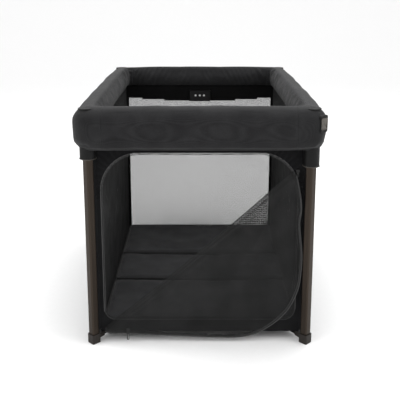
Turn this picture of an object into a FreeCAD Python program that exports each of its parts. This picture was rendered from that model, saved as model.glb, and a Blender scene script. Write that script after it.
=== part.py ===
import FreeCAD, Part
import os
import re

import Sketcher

# Folding playpen. +X is to the right, the door end faces -Y, +Z is up, and the origin is at the middle of
# the footprint, on the floor. Every sub-part is one object of this document, named after what it is.
# The four top rails hinge on the corner brackets and at their middles; the four base legs hinge on the
# feet and on the hub. All six rail and leg spans are in proportion, so the frame folds as one linkage.

doc = FreeCAD.newDocument("playpen")

# ------------------------------------------------------------------ driving dimensions, in millimetres
DIMENSIONS = [
    ("post_x", 333, "post axis from the middle, across"),
    ("post_y", 487, "post axis from the middle, along"),
    ("leg_side", 25, "side of the square leg tube"),
    ("leg_corner", 5, "corner radius of the leg tube"),
    ("leg_wall", 1.2, "wall of the leg tube"),
    ("leg_bottom", 5, "lower end of the leg tube in its foot"),
    ("leg_top", 742, "upper end of the leg tube in its bracket"),
    ("socket_gap", 0.2, "gap round a tube in a moulded socket"),
    ("rail_pivot_z", 738, "height of the rail pins"),
    ("rail_pivot_reach", 48, "rail pin from the post axis, on the short sides"),
    ("rail_drop", 12, "rail tube axis below its pins"),
    ("rail_radius", 11, "outer radius of the rail tube"),
    ("rail_wall", 1.5, "wall of the rail tube"),
    ("rail_setback", 18, "end of the rail tube from its pin"),
    ("rail_eye", 11, "radius of the rail's hinge eyes"),
    ("rail_tongue", 14, "thickness of the rail's hinge tongues"),
    ("rail_cheek", 4, "thickness of a fork cheek at the rails"),
    ("rail_pin", 3, "radius of the rail pins"),
    ("base_pivot_z", 17, "height of the base-leg pins"),
    ("foot_pivot_reach", 34, "base-leg pin from the post axis"),
    ("base_radius", 9, "outer radius of the base-leg tube"),
    ("base_wall", 1.2, "wall of the base-leg tube"),
    ("base_setback", 14, "end of the base-leg tube from its pin"),
    ("base_eye", 8, "radius of the base leg's hinge eyes"),
    ("base_tongue", 10, "thickness of the base leg's hinge tongues"),
    ("base_cheek", 3.5, "thickness of a fork cheek at the base"),
    ("base_pin", 2.5, "radius of the base-leg pins"),
    ("side_gap", 0.5, "gap between a tongue and a fork cheek"),
    ("pin_fit", 0.08, "radial clearance of a pin in a moving eye"),
    ("pin_seat", 0.02, "radial clearance of a pin in its fork"),
    ("open_fit", 0.5, "radial clearance of the pins that close the frame's loops"),
    ("plug_length", 16, "length of a fitting's plug in its tube"),
    ("foot_side", 30, "side of the square foot"),
    ("foot_height", 30, "height of the foot"),
    ("foot_corner", 4, "corner radius of the foot"),
    ("foot_throat", 6, "solid root of the foot's fork past the foot"),
    ("overlap", 1, "how far pieces of one moulding run into each other"),
    ("plug_fit", 0.1, "radial clearance of a plug in its tube"),
    ("throat_gap", 0.5, "gap in front of a fork's throat"),
    ("swing_gap", 1.5, "gap behind the tongue in a rail's centre fork"),
    ("web_drop", 9, "depth of a centre fork's web below the tube axis"),
    ("collar_gap", 0.6, "gap round the bracket in its padded cover"),
    ("collar_radius", 24, "radius of the bracket's collar"),
    ("collar_bottom", 598, "lower end of a bracket collar"),
    ("long_collar_bottom", 575, "lower end of the collar with the release button"),
    ("collar_top", 751, "top of the bracket"),
    ("fork_half", 12, "half height of the rail forks"),
    ("hub_rim_gap", 11.04, "hub's rim from the base-leg pins in it"),
    ("hub_top", 26, "top of the hub"),
    ("hub_foot_radius", 22, "radius of the hub's own foot"),
    ("hub_foot_height", 8, "height of the hub's own foot"),
    ("cover_out", 42, "cover's outer face from the post axis"),
    ("cover_in", 32, "cover's inner face from the post axis"),
    ("cover_top", 765, "top of the padded cover"),
    ("pad_bottom", 679, "lower edge of the padding on the inside"),
    ("skirt_bottom", 617, "lower edge of the cover on the outside"),
    ("channel_half", 16, "half width of the cover's channel for the rail"),
    ("channel_top", 753.5, "top of the cover's channel"),
    ("cover_edge", 14, "bevel along the cover's top edges"),
    ("cover_corner", 50, "radius of the cover's outer corner"),
    ("cover_gap", 0.5, "gap between neighbouring covers"),
    ("wall_inset", 18.5, "wall cloth inboard of the post axes"),
    ("cloth", 2, "thickness of the wall cloth"),
    ("wall_bottom", 30, "lower edge of the walls"),
    ("wall_top", 678.5, "upper edge of the walls"),
    ("soft_gap", 0.5, "gap between soft pieces"),
    ("floor_gap", 1.4, "floor cloth above the hub and the base legs"),
    ("floor_cloth_thickness", 1.6, "thickness of the floor cloth"),
    ("door_margin", 15.5, "wall cloth left beside the door opening"),
    ("door_bottom", 67, "lower edge of the door opening"),
    ("door_top", 610, "upper edge of the door opening"),
    ("door_corner", 118, "radius of the door's upper corners"),
    ("door_gap", 1, "gap round the door panel"),
    ("fold_start_z", 42, "height of the fold line at the left edge of the door"),
    ("fold_rise", 0.8816, "rise of the fold line per length across"),
    ("flap_stand", 18.5, "folded door flap in front of the front wall"),
    ("flap_bottom", 15, "lowest point of the folded flap"),
    ("flap_overhang", 12, "folded flap past the right edge of the opening"),
    ("flap_left_set", 3, "folded flap inside the left edge of the opening"),
    ("flap_top_set", 8, "upper end of the folded flap under the fold line"),
    ("flap_corner", 200, "radius of the folded flap's lower corner"),
    ("mattress_side_gap", 1.5, "gap between the mattress and the side walls"),
    ("mattress_end_gap", 3.5, "gap between the mattress and the end walls"),
    ("mattress_mid", 248, "length of the middle panel"),
    ("mattress_gap", 3, "mattress above the floor cloth"),
    ("mattress_thick", 24, "thickness of the mattress"),
    ("mattress_corner", 14, "corner radius of the mattress"),
    ("strap_length", 170, "length of the hub's pull strap"),
    ("strap_width", 25, "width of the hub's pull strap"),
    ("strap_thick", 1.5, "thickness of the pull strap"),
    ("strap_root", 3, "half length of the pull strap's stitched root"),
    ("strap_gap", 0.3, "pull strap above the floor cloth"),
    ("slit_gap", 3, "gap round the strap's root in the floor cloth"),
    ("patch_width", 93, "width of the patch on the back wall"),
    ("patch_height", 49, "height of the patch on the back wall"),
    ("patch_z", 634.5, "height of the patch's middle"),
    ("patch_thick", 1, "thickness of the patch"),
    ("patch_corner", 6, "corner radius of the patch"),
    ("patch_gap", 0.1, "thread between the patch and the wall"),
    ("button_z", 709, "height of the release button's middle"),
    ("housing_reach", 41.5, "outer face of the button housing from the post axis"),
    ("housing_root", 24.4, "inner face of the button housing from the post axis"),
    ("housing_width", 33, "width of the button housing"),
    ("housing_height", 51, "height of the button housing"),
    ("housing_wall", 3, "wall of the button housing"),
    ("housing_floor", 2, "floor of the button housing"),
    ("housing_corner", 7, "corner radius of the button housing"),
    ("well_half", 16, "half height of the well that the button fills"),
    ("well_corner", 5, "corner radius of the well"),
    ("button_set_in", 0.5, "button's face behind the rim of its housing"),
    ("spring_gap", 0.1, "gap at each end of the button's spring"),
    ("button_gap", 0.4, "gap round the button in its housing"),
    ("button_thick", 5, "thickness of the push button"),
    ("button_travel", 5, "travel of the push button"),
    ("spring_radius", 5, "mean radius of the button's spring"),
    ("spring_wire", 0.6, "wire radius of the button's spring"),
    ("latch_radius", 3, "radius of the latch bolt"),
    ("latch_tip", 36.5, "tip of the latch bolt from the post axis"),
    ("latch_tail", 20.4, "inner end of the latch bolt from the post axis"),
    ("latch_travel", 4, "travel of the latch bolt towards the post"),
    ("slider_width", 13, "width of a zip slider"),
    ("slider_height", 20, "height of a zip slider"),
    ("slider_thick", 6, "thickness of a zip slider"),
    ("slider_margin", 4, "upper slider inside the right edge of the opening"),
    ("slider_z", 550, "height of the upper slider"),
    ("low_slider_margin", 75, "lower slider from the left edge of the opening"),
    ("low_slider_z", 38, "height of the lower slider"),
    ("slider_corner", 3, "corner radius of a zip slider"),
    ("tab_length", 26, "length of the lower slider's pull tab"),
    ("tab_half", 3.5, "half width of the pull tab"),
    ("tab_thick", 2, "thickness of the pull tab"),
    ("tab_root", 12, "pull tab's upper end above the slider's lower end"),
    ("tab_start", 8, "where the tab's length is measured from, above the slider's lower end"),
    ("tab_hole", 1.6, "radius of the hole in the pull tab"),
    ("tab_hole_rise", 4, "hole above the lower end of the pull tab"),
    ("slider_gap", 1.2, "gap between a slider and the cloth behind it"),
]

sheet = doc.addObject("Spreadsheet::Sheet", "Sizes")
for row, (alias, value, meaning) in enumerate(DIMENSIONS, start=1):
    sheet.set(f"A{row}", meaning)
    sheet.set(f"B{row}", str(value))
    sheet.setAlias(f"B{row}", alias)
doc.recompute()
ALIASES = {alias for alias, _, _ in DIMENSIONS}

# Sizes that follow from the driving ones, so that the linkage closes at every angle.
POST_RADIUS = "sqrt(post_x^2 + post_y^2)"
LONG_REACH = "(rail_pivot_reach * post_y / post_x)"
HUB_REACH = f"(sqrt(rail_pivot_reach^2 + {LONG_REACH}^2) - foot_pivot_reach)"
DIAGONAL = "atan(post_y / post_x)"
RAIL_GAP = "(rail_tongue / 2 + side_gap)"
BASE_GAP = "(base_tongue / 2 + side_gap)"
HUB_RADIUS = f"({HUB_REACH} - hub_rim_gap)"
RAIL_PLUG = "(rail_radius - rail_wall - plug_fit)"
BASE_PLUG = "(base_radius - base_wall - plug_fit)"
FLOOR_BOTTOM = "(max(base_pivot_z + base_radius; hub_top) + floor_gap)"
FLOOR_TOP = f"({FLOOR_BOTTOM} + floor_cloth_thickness)"
STRAP_BOTTOM = f"({FLOOR_TOP} + strap_gap)"
DOOR_HALF = "(post_x - wall_inset + cloth / 2 - door_margin)"
FLAP_RIGHT = f"({DOOR_HALF} + flap_overhang)"
FLAP_Y = "(post_y - wall_inset + flap_stand)"
MATTRESS_HALF_X = "(post_x - wall_inset - cloth / 2 - mattress_side_gap)"
MATTRESS_HALF_Y = "(post_y - wall_inset - cloth / 2 - mattress_end_gap)"

# Corner name: sign across, sign along, and the outward direction as (start angle, sign of the diagonal).
CORNERS = {
    "front_left": (-1, -1, 180, 1),
    "front_right": (1, -1, 0, -1),
    "back_left": (-1, 1, 180, -1),
    "back_right": (1, 1, 0, 1),
}

subparts = []


# ------------------------------------------------------------------ helpers
def sized(expression):
    """The expression with every alias read from the sheet."""
    return re.sub(
        r"[a-z][a-z_]+",
        lambda word: "Sizes." + word.group() if word.group() in ALIASES else word.group(),
        str(expression),
    )


def number(expression):
    return float(sheet.evalExpression(str(expression)))


def bind(thing, properties):
    for name, expression in properties.items():
        thing.setExpression(name, sized(expression))
    return thing


def place(thing, x="0", y="0", z="0"):
    return bind(thing, {"Placement.Base.x": x, "Placement.Base.y": y, "Placement.Base.z": z})


def turn(thing, angle):
    return bind(thing, {"Placement.Rotation.Angle": angle})


def box(name, low, high):
    """A box from its low corner to its high corner, each given as three expressions."""
    thing = doc.addObject("Part::Box", name)
    sides = [f"({b}) - ({a})" for a, b in zip(low, high)]
    bind(thing, dict(zip(("Length", "Width", "Height"), sides)))
    return place(thing, *low)


AXES = {
    "z": FreeCAD.Rotation(),
    "y": FreeCAD.Rotation(FreeCAD.Vector(1, 0, 0), -90),
    "x": FreeCAD.Rotation(FreeCAD.Vector(0, 1, 0), 90),
}


def rod(name, radius, length, start, along="z"):
    """A cylinder from the start point, along +x, +y or +z."""
    thing = doc.addObject("Part::Cylinder", name)
    thing.Placement = FreeCAD.Placement(FreeCAD.Vector(), AXES[along])
    bind(thing, {"Radius": radius, "Height": length})
    return place(thing, *start)


def fuse(name, parts):
    thing = doc.addObject("Part::MultiFuse", name)
    thing.Shapes = parts
    return thing


def cut(name, base, tools):
    thing = doc.addObject("Part::Cut", name)
    thing.Base = base
    thing.Tool = tools[0] if len(tools) == 1 else fuse(name + "_tools", tools)
    return thing


def group(name, parts):
    thing = doc.addObject("Part::Compound", name)
    thing.Links = parts
    return thing


def round_edges(name, base, radius, chosen):
    """Rounds the edges of base that the test picks."""
    doc.recompute()
    thing = doc.addObject("Part::Fillet", name)
    thing.Base = base
    edges = [i for i, edge in enumerate(base.Shape.Edges, start=1) if chosen(edge)]
    thing.Edges = [(i, number(radius), number(radius)) for i in edges]
    return thing


def finish(label, thing):
    """Names a finished sub-part and keeps it for export."""
    thing.Label = label
    subparts.append(thing)
    return thing


def outline(body, role, points):
    """A closed polygon on one of the body's own planes, each corner tied to its two expressions."""
    plane = next(feature for feature in body.Origin.OriginFeatures if feature.Role == role)
    sketch = body.newObject("Sketcher::SketchObject", "Outline")
    sketch.AttachmentSupport = [(plane, "")]
    sketch.MapMode = "FlatFace"
    corners = [FreeCAD.Vector(number(across), number(up), 0) for across, up in points]
    count = len(corners)
    for i in range(count):
        sketch.addGeometry(Part.LineSegment(corners[i], corners[(i + 1) % count]))
    for i in range(count):
        sketch.addConstraint(Sketcher.Constraint("Coincident", i, 2, (i + 1) % count, 1))
    for i, (across, up) in enumerate(points):
        for kind, expression, value in (
            ("DistanceX", across, corners[i].x),
            ("DistanceY", up, corners[i].y),
        ):
            index = sketch.addConstraint(Sketcher.Constraint(kind, -1, 1, i, 1, value))
            sketch.setExpression(f"Constraints[{index}]", sized(expression))
    return sketch


def pad(body, sketch, length, both_ways=False):
    thing = body.newObject("PartDesign::Pad", "Pad")
    thing.Profile = sketch
    bind(thing, {"Length": length})
    if both_ways:
        thing.SideType = "Symmetric"
    doc.recompute()
    return thing


def pocket(body, sketch, length):
    """Cuts both ways from the sketch, and makes sure that something was cut."""
    before = body.Shape.Volume
    thing = body.newObject("PartDesign::Pocket", "Pocket")
    thing.Profile = sketch
    bind(thing, {"Length": length})
    thing.SideType = "Symmetric"
    doc.recompute()
    if body.Shape.Volume > before - 1:
        raise RuntimeError(f"{body.Name}: the pocket cuts nothing")
    return thing


def soften(body, radius, chosen):
    """Fillets the edges of the body's last feature that the test picks."""
    last = body.Tip
    edges = [f"Edge{i}" for i, edge in enumerate(last.Shape.Edges, start=1) if chosen(edge)]
    thing = body.newObject("PartDesign::Fillet", "Fillet")
    thing.Base = (last, edges)
    bind(thing, {"Radius": radius})
    doc.recompute()
    return thing


def new_body(name):
    return doc.addObject("PartDesign::Body", name)


def along(edge, axis):
    """Whether a straight edge runs along one axis, 0, 1 or 2."""
    run = edge.Vertexes[-1].Point - edge.Vertexes[0].Point
    return edge.Curve.TypeId == "Part::GeomLine" and abs(abs(run[axis]) - edge.Length) < 1e-6


def span(sign, outward, inward):
    """Low and high ends of a run from outward of the post to inward of it, on the side of that sign."""
    ends = (f"{sign} * ({outward})", f"{-sign} * ({inward})")
    return ends if sign < 0 else ends[::-1]


def outward(start, sign):
    return f"{start} deg + {sign} * {DIAGONAL}"


def inward(start, sign):
    return f"{start + 180} deg + {sign} * {DIAGONAL}"


# ------------------------------------------------------------------ hinge fittings
def fork(name, root, throat, reach, pivot, half_height, half_gap, cheek, hole):
    """Two cheeks along +x, joined from root to throat, with a pin hole at the reach."""
    half_width = f"{half_gap} + {cheek}"
    bar = box(
        name + "_bar",
        (root, f"-({half_width})", f"{pivot} - {half_height}"),
        (reach, half_width, f"{pivot} + {half_height}"),
    )
    eye = rod(name + "_eye", half_height, f"2 * ({half_width})", (reach, f"-({half_width})", pivot), "y")
    slot = box(
        name + "_slot",
        (throat, f"-{half_gap}", f"{pivot} - 2 * {half_height}"),
        (f"{reach} + 2 * {half_height}", half_gap, f"{pivot} + 2 * {half_height}"),
    )
    bore = rod(name + "_bore", hole, f"2 * ({half_width})", (reach, f"-({half_width})", pivot), "y")
    return cut(name, fuse(name + "_blank", [bar, eye]), [slot, bore])


def pin(name, radius, reach, pivot, half_gap, cheek):
    half_width = f"({half_gap} + {cheek})"
    return rod(name, radius, f"2 * {half_width}", (reach, f"-{half_width}", pivot), "y")


def tube(name, radius, wall, length, start, height):
    outer = rod(name + "_outer", radius, length, (start, "0", height), "x")
    inner = rod(name + "_inner", f"{radius} - {wall}", length, (start, "0", height), "x")
    return cut(name, outer, [inner])


# ------------------------------------------------------------------ legs, feet and brackets
def leg_tube(corner):
    """A square tube turned so that one edge faces straight out."""
    across, lengthways, _, _ = CORNERS[corner]
    body = new_body("leg_tube_" + corner)
    outer = body.newObject("PartDesign::AdditivePrism", "Outer")
    outer.Polygon = 4
    bind(outer, {"Circumradius": "leg_side / sqrt(2)", "Height": "leg_top - leg_bottom"})
    inner = body.newObject("PartDesign::SubtractivePrism", "Inner")
    inner.Polygon = 4
    bind(inner, {"Circumradius": "leg_side / sqrt(2) - leg_wall * sqrt(2)"})
    bind(inner, {"Height": "leg_top - leg_bottom"})
    doc.recompute()
    halfway = (number("leg_side / sqrt(2)") + number("leg_side / sqrt(2) - leg_wall * sqrt(2)")) / 2

    def on_ring(inside):
        def chosen(edge):
            middle = edge.CenterOfMass
            return along(edge, 2) and ((middle.x**2 + middle.y**2) ** 0.5 < halfway) == inside

        return chosen

    soften(body, "leg_corner - leg_wall", on_ring(True))
    soften(body, "leg_corner", on_ring(False))
    place(body, f"{across} * post_x", f"{lengthways} * post_y", "leg_bottom")
    return finish("leg_tube_" + corner, body)


def tube_socket(name, bottom, top):
    """The hole that a leg tube slides into."""
    hole = doc.addObject("Part::Prism", name)
    hole.Polygon = 4
    bind(hole, {"Circumradius": "leg_side / sqrt(2) + socket_gap", "Height": f"{top} - ({bottom})"})
    return place(hole, z=bottom)


def foot(corner):
    """A moulded foot with the fork and pin that carry one end of a base leg."""
    across, lengthways, start, sign = CORNERS[corner]
    name = "foot_" + corner
    block = doc.addObject("Part::Prism", name + "_block")
    block.Polygon = 4
    bind(block, {"Circumradius": "foot_side / sqrt(2)", "Height": "foot_height"})
    block = round_edges(name + "_shoe", block, "foot_corner", lambda edge: along(edge, 2))
    lug = fork(
        name + "_fork", "foot_side / 4", "foot_side / 2 + foot_throat", "foot_pivot_reach", "base_pivot_z",
        "base_eye", BASE_GAP, "base_cheek", "base_pin + pin_seat",
    )
    turn(lug, inward(start, sign))
    moulding = cut(name + "_moulding", fuse(name + "_solid", [block, lug]),
                   [tube_socket(name + "_socket", "leg_bottom", "foot_height + overlap")])
    shaft = group(name + "_shaft", [
        pin(name + "_pin", "base_pin", "foot_pivot_reach", "base_pivot_z", BASE_GAP, "base_cheek"),
    ])
    turn(shaft, inward(start, sign))
    whole = group(name, [moulding, shaft])
    place(whole, f"{across} * post_x", f"{lengthways} * post_y")
    return finish(name, whole)


def corner_bracket(corner):
    """A moulded cap on the leg with one fork along each side and the two rail pins."""
    across, lengthways, _, _ = CORNERS[corner]
    name = "corner_bracket_" + corner
    bottom = "long_collar_bottom" if corner == "front_right" else "collar_bottom"
    collar = rod(name + "_collar", "collar_radius", f"collar_top - {bottom}", ("0", "0", bottom))
    forks = []
    pins = []
    for side, reach, angle in (
        ("across", "rail_pivot_reach", "0 deg" if across < 0 else "180 deg"),
        ("along", LONG_REACH, "90 deg" if lengthways < 0 else "-90 deg"),
    ):
        arm = fork(
            f"{name}_{side}", "collar_radius / 2", "collar_radius + throat_gap", reach, "rail_pivot_z",
            "fork_half", RAIL_GAP, "rail_cheek", "rail_pin + pin_seat",
        )
        forks.append(turn(arm, angle))
        shaft = group(f"{name}_{side}_shaft", [
            pin(f"{name}_{side}_pin", "rail_pin", reach, "rail_pivot_z", RAIL_GAP, "rail_cheek"),
        ])
        pins.append(turn(shaft, angle))
    hollows = [tube_socket(name + "_socket", f"{bottom} - overlap", "leg_top + throat_gap")]
    if corner == "front_right":
        guide = rod(name + "_guide", "latch_radius + socket_gap / 2", "latch_tip - latch_tail + latch_travel",
                    ("-latch_tip", "0", "rail_pivot_z"), "x")
        hollows.append(guide)
    moulding = cut(name + "_moulding", fuse(name + "_solid", [collar] + forks), hollows)
    whole = group(name, [moulding] + pins)
    place(whole, f"{across} * post_x", f"{lengthways} * post_y")
    return finish(name, whole)


# ------------------------------------------------------------------ top rails
# Side name: turn about +Z, and the middle of the side as factors of post_x and post_y. In a rail's own
# frame +X runs along the rail, +Y points inboard and the origin is at the middle of the side.
SIDES = {
    "front": (0, 0, -1),
    "right": (90, 1, 0),
    "back": (180, 0, 1),
    "left": (270, -1, 0),
}
# Which end of each rail, in its own frame, carries the half hinged on the bracket first.
HALVES = {
    "front": {-1: ("front_rail_left", True), 1: ("front_rail_right", False)},
    "right": {-1: ("right_rail_front", True), 1: ("right_rail_back", False)},
    "back": {-1: ("back_rail_right", False), 1: ("back_rail_left", True)},
    "left": {-1: ("left_rail_back", False), 1: ("left_rail_front", True)},
}


def rail_run(side):
    """From the bracket pin to the centre pin."""
    return "(post_x - rail_pivot_reach)" if side in ("front", "back") else f"(post_y - {LONG_REACH})"


def at_side(thing, side, extra_turn=0):
    angle, across, lengthways = SIDES[side]
    turn(thing, f"{angle + extra_turn} deg")
    return place(thing, f"{across} * post_x", f"{lengthways} * post_y")


def tongue(name, position, direction, axis_height, hole, eye, thick, setback, drop, plug):
    """A flat eye on its pin, a web beside it and the plug that fills the tube's end."""
    def reach(distance):
        return f"{position} + {direction} * ({distance})"

    def run(near, far):
        return (reach(near), reach(far)) if direction > 0 else (reach(far), reach(near))

    disc = rod(name + "_eye", eye, thick, (position, f"-{thick} / 2", axis_height), "y")
    web_low, web_high = run(f"{eye} / 2", f"{setback} + 2 * overlap")
    web = box(
        name + "_web",
        (web_low, f"-{thick} / 2", f"{axis_height} - {drop} - {plug} + overlap"),
        (web_high, f"{thick} / 2", axis_height if drop != "0" else f"{axis_height} + {plug} - overlap"),
    )
    plug_low, _ = run(setback, f"{setback} + plug_length")
    plug_rod = rod(name + "_plug", plug, "plug_length", (plug_low, "0", f"{axis_height} - {drop}"), "x")
    bore = rod(name + "_bore", hole, thick, (position, f"-{thick} / 2", axis_height), "y")
    return cut(name, fuse(name + "_blank", [disc, web, plug_rod]), [bore])


def centre_fork(name, position, direction):
    """The fork half of a rail's centre hinge, open on top so that the other half can swing over."""
    half_width = f"({RAIL_GAP} + rail_cheek)"

    def run(near, far):
        ends = (f"{position} + {direction} * ({near})", f"{position} + {direction} * ({far})")
        return ends if direction > 0 else ends[::-1]

    disc = rod(name + "_eye", "rail_eye", f"2 * {half_width}",
               (position, f"-{half_width}", "rail_pivot_z"), "y")
    web_low, web_high = run("rail_eye / 2", "rail_setback")
    web = box(name + "_web", (web_low, f"-{half_width}", "rail_pivot_z - rail_drop - web_drop"),
              (web_high, half_width, "rail_pivot_z"))
    plug_low, _ = run("rail_setback", "rail_setback + plug_length")
    plug_rod = rod(name + "_plug", RAIL_PLUG, "plug_length",
                   (plug_low, "0", "rail_pivot_z - rail_drop"), "x")
    slot_low, slot_high = run("-2 * rail_eye", "rail_eye + swing_gap")
    slot = box(name + "_slot", (slot_low, f"-{RAIL_GAP}", "rail_pivot_z - 3 * rail_eye"),
               (slot_high, RAIL_GAP, "rail_pivot_z + 2 * rail_eye"))
    bore = rod(name + "_bore", "rail_pin + pin_seat", f"2 * {half_width}",
               (position, f"-{half_width}", "rail_pivot_z"), "y")
    return cut(name, fuse(name + "_blank", [disc, web, plug_rod]), [slot, bore])


def rail_half(side, end):
    """Half of a top rail: the tube, the eye at the bracket, and its share of the centre hinge."""
    name, carries_pin = HALVES[side][end]
    run = rail_run(side)
    outer_pin = f"{end} * {run}"
    tube_low = "rail_setback" if end > 0 else f"rail_setback - {run}"
    pipe = tube(name + "_tube", "rail_radius", "rail_wall", f"{run} - 2 * rail_setback",
                tube_low, "rail_pivot_z - rail_drop")
    outer_hole = "rail_pin + pin_fit" if carries_pin else "rail_pin + open_fit"
    outer = tongue(name + "_end", outer_pin, -end, "rail_pivot_z", outer_hole, "rail_eye",
                   "rail_tongue", "rail_setback", "rail_drop", RAIL_PLUG)
    parts = [pipe, outer]
    if carries_pin:
        parts.append(centre_fork(name + "_fork", "0", end))
        parts.append(pin(name + "_pin", "rail_pin", "0", "rail_pivot_z", RAIL_GAP, "rail_cheek"))
    else:
        parts.append(tongue(name + "_tongue", "0", end, "rail_pivot_z", "rail_pin + pin_fit", "rail_eye",
                            "rail_tongue", "rail_setback", "rail_drop", RAIL_PLUG))
    return finish(name, at_side(group(name, parts), side))


def rail_cover(side, end):
    """Half of a padded rail cover: padding over and inside the rail, and a deeper skirt outside."""
    name = HALVES[side][end][0].replace("rail", "rail_cover")
    body = new_body(name)
    section = [
        ("-cover_out", "skirt_bottom"),
        ("-cover_out", "cover_top - cover_edge"),
        ("cover_edge - cover_out", "cover_top"),
        ("cover_in - cover_edge", "cover_top"),
        ("cover_in", "cover_top - cover_edge"),
        ("cover_in", "pad_bottom"),
        ("channel_half", "pad_bottom"),
        ("channel_half", "channel_top"),
        ("-channel_half", "channel_top"),
        ("-channel_half", "skirt_bottom"),
    ]
    pad(body, outline(body, "YZ_Plane", section), f"{rail_run(side)} - 2 * cover_gap")
    # The section starts beside the centre hinge or beside the corner cover.
    start = "cover_gap" if end > 0 else f"cover_gap - {rail_run(side)}"
    angle, across, lengthways = SIDES[side]
    step_x, step_y = {0: (1, 0), 90: (0, 1), 180: (-1, 0), 270: (0, -1)}[angle]
    turn(body, f"{angle} deg")
    place(body, f"{across} * post_x + {step_x} * ({start})", f"{lengthways} * post_y + {step_y} * ({start})")
    return finish(name, body)


def corner_cover(corner):
    """The padded corner between two rail covers, hollow over the bracket."""
    across, lengthways, _, _ = CORNERS[corner]
    name = "corner_cover_" + corner
    x_out, x_in = (f"{across} * cover_out", f"{-across} * (rail_pivot_reach - cover_gap)")
    y_out, y_in = (f"{lengthways} * cover_out", f"{-lengthways} * ({LONG_REACH} - cover_gap)")
    x_low, x_high = (x_out, x_in) if across < 0 else (x_in, x_out)
    y_low, y_high = (y_out, y_in) if lengthways < 0 else (y_in, y_out)
    block = box(name + "_block", (x_low, y_low, "skirt_bottom"), (x_high, y_high, "cover_top"))

    def is_outer_edge(edge):
        middle = edge.CenterOfMass
        return along(edge, 2) and middle.x * across > 0 and middle.y * lengthways > 0

    block = round_edges(name + "_rounded", block, "cover_corner", is_outer_edge)
    top_edges = []
    doc.recompute()
    for i, edge in enumerate(block.Shape.Edges, start=1):
        middle = edge.CenterOfMass
        on_top = abs(edge.BoundBox.ZMin - number("cover_top")) < 1e-4
        outside = middle.x * across > number("cover_in") or middle.y * lengthways > number("cover_in")
        if on_top and edge.BoundBox.ZLength < 1e-4 and outside:
            top_edges.append(i)
    bevel = doc.addObject("Part::Chamfer", name + "_bevelled")
    bevel.Base = block
    bevel.Edges = [(i, number("cover_edge"), number("cover_edge")) for i in top_edges]
    inner_x = span(across, "-cover_in", "post_x")
    inner_y = span(lengthways, "-cover_in", "post_y")
    inside = box(name + "_inside", (inner_x[0], inner_y[0], "0"),
                 (inner_x[1], inner_y[1], "cover_top + overlap"))
    run_x = span(across, "channel_half", "post_x")
    run_y = span(lengthways, "channel_half", "post_y")
    channel_x = box(name + "_channel_x", (run_x[0], "-channel_half", "0"),
                    (run_x[1], "channel_half", "channel_top"))
    channel_y = box(name + "_channel_y", ("-channel_half", run_y[0], "0"),
                    ("channel_half", run_y[1], "channel_top"))
    under_x = span(across, "-channel_half + overlap", "post_x")
    under_y = span(lengthways, "-channel_half + overlap", "post_y")
    under = box(name + "_under", (under_x[0], under_y[0], "0"), (under_x[1], under_y[1], "pad_bottom"))
    collar = rod(name + "_collar", "collar_radius + collar_gap", "channel_top", ("0", "0", "0"))
    hollows = [inside, channel_x, channel_y, under, collar]
    if corner == "front_right":
        window = group(name + "_window", [box(
            name + "_window_box",
            ("0", "-housing_width / 2 - collar_gap", "button_z - housing_height / 2 - collar_gap"),
            ("2 * cover_out", "housing_width / 2 + collar_gap", "button_z + housing_height / 2 + collar_gap"),
        )])
        hollows.append(turn(window, "-45 deg"))
    whole = cut(name, bevel, hollows)
    place(whole, f"{across} * post_x", f"{lengthways} * post_y")
    return finish(name, whole)


# ------------------------------------------------------------------ hub and base legs
def hub():
    """The moulded hub that stands on its own foot, with a fork and pin for each base leg."""
    disc = rod("hub_disc", HUB_RADIUS, "hub_top - hub_foot_height", ("0", "0", "hub_foot_height"))
    stand = rod("hub_stand", "hub_foot_radius", "hub_foot_height + overlap", ("0", "0", "0"))
    solids = [disc, stand]
    shafts = []
    for corner, (_, _, start, sign) in CORNERS.items():
        arm = fork("hub_fork_" + corner, "hub_foot_radius", f"{HUB_RADIUS} + throat_gap", HUB_REACH,
                   "base_pivot_z", "base_eye", BASE_GAP, "base_cheek", "base_pin + pin_seat")
        solids.append(turn(arm, outward(start, sign)))
        shaft = group("hub_shaft_" + corner, [
            pin("hub_pin_" + corner, "base_pin", HUB_REACH, "base_pivot_z", BASE_GAP, "base_cheek"),
        ])
        shafts.append(turn(shaft, outward(start, sign)))
    return finish("hub", group("hub", [fuse("hub_moulding", solids)] + shafts))


def base_leg(corner):
    """A round tube with a hinge eye at each end, from the hub to a foot."""
    _, _, start, sign = CORNERS[corner]
    name = "base_leg_" + corner
    outer_pin = f"({POST_RADIUS} - foot_pivot_reach)"
    length = f"{outer_pin} - {HUB_REACH} - 2 * base_setback"
    pipe = tube(name + "_tube", "base_radius", "base_wall", length, f"{HUB_REACH} + base_setback",
                "base_pivot_z")
    ends = [
        tongue(f"{name}_{place_name}", position, direction, "base_pivot_z", f"base_pin + {fit}", "base_eye",
               "base_tongue", "base_setback", "0", BASE_PLUG)
        for place_name, position, direction, fit in (
            ("inner", HUB_REACH, 1, "pin_fit"),
            ("outer", outer_pin, -1, "pin_fit"),
        )
    ]
    return finish(name, turn(group(name, [pipe] + ends), outward(start, sign)))


def pull_strap():
    """The webbing pulled to fold the base: a stitched root through the floor cloth and a flat loop on it."""
    half = "strap_width / 2"
    root = box("strap_base", (f"-{half}", "-strap_root", "hub_top"),
               (half, "strap_root", f"{STRAP_BOTTOM} + strap_thick / 2"))
    loop = box("strap_loop", (f"-{half}", "-strap_length / 2", STRAP_BOTTOM),
               (half, "strap_length / 2", f"{STRAP_BOTTOM} + strap_thick"))
    return finish("pull_strap", fuse("pull_strap", [root, loop]))


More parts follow.
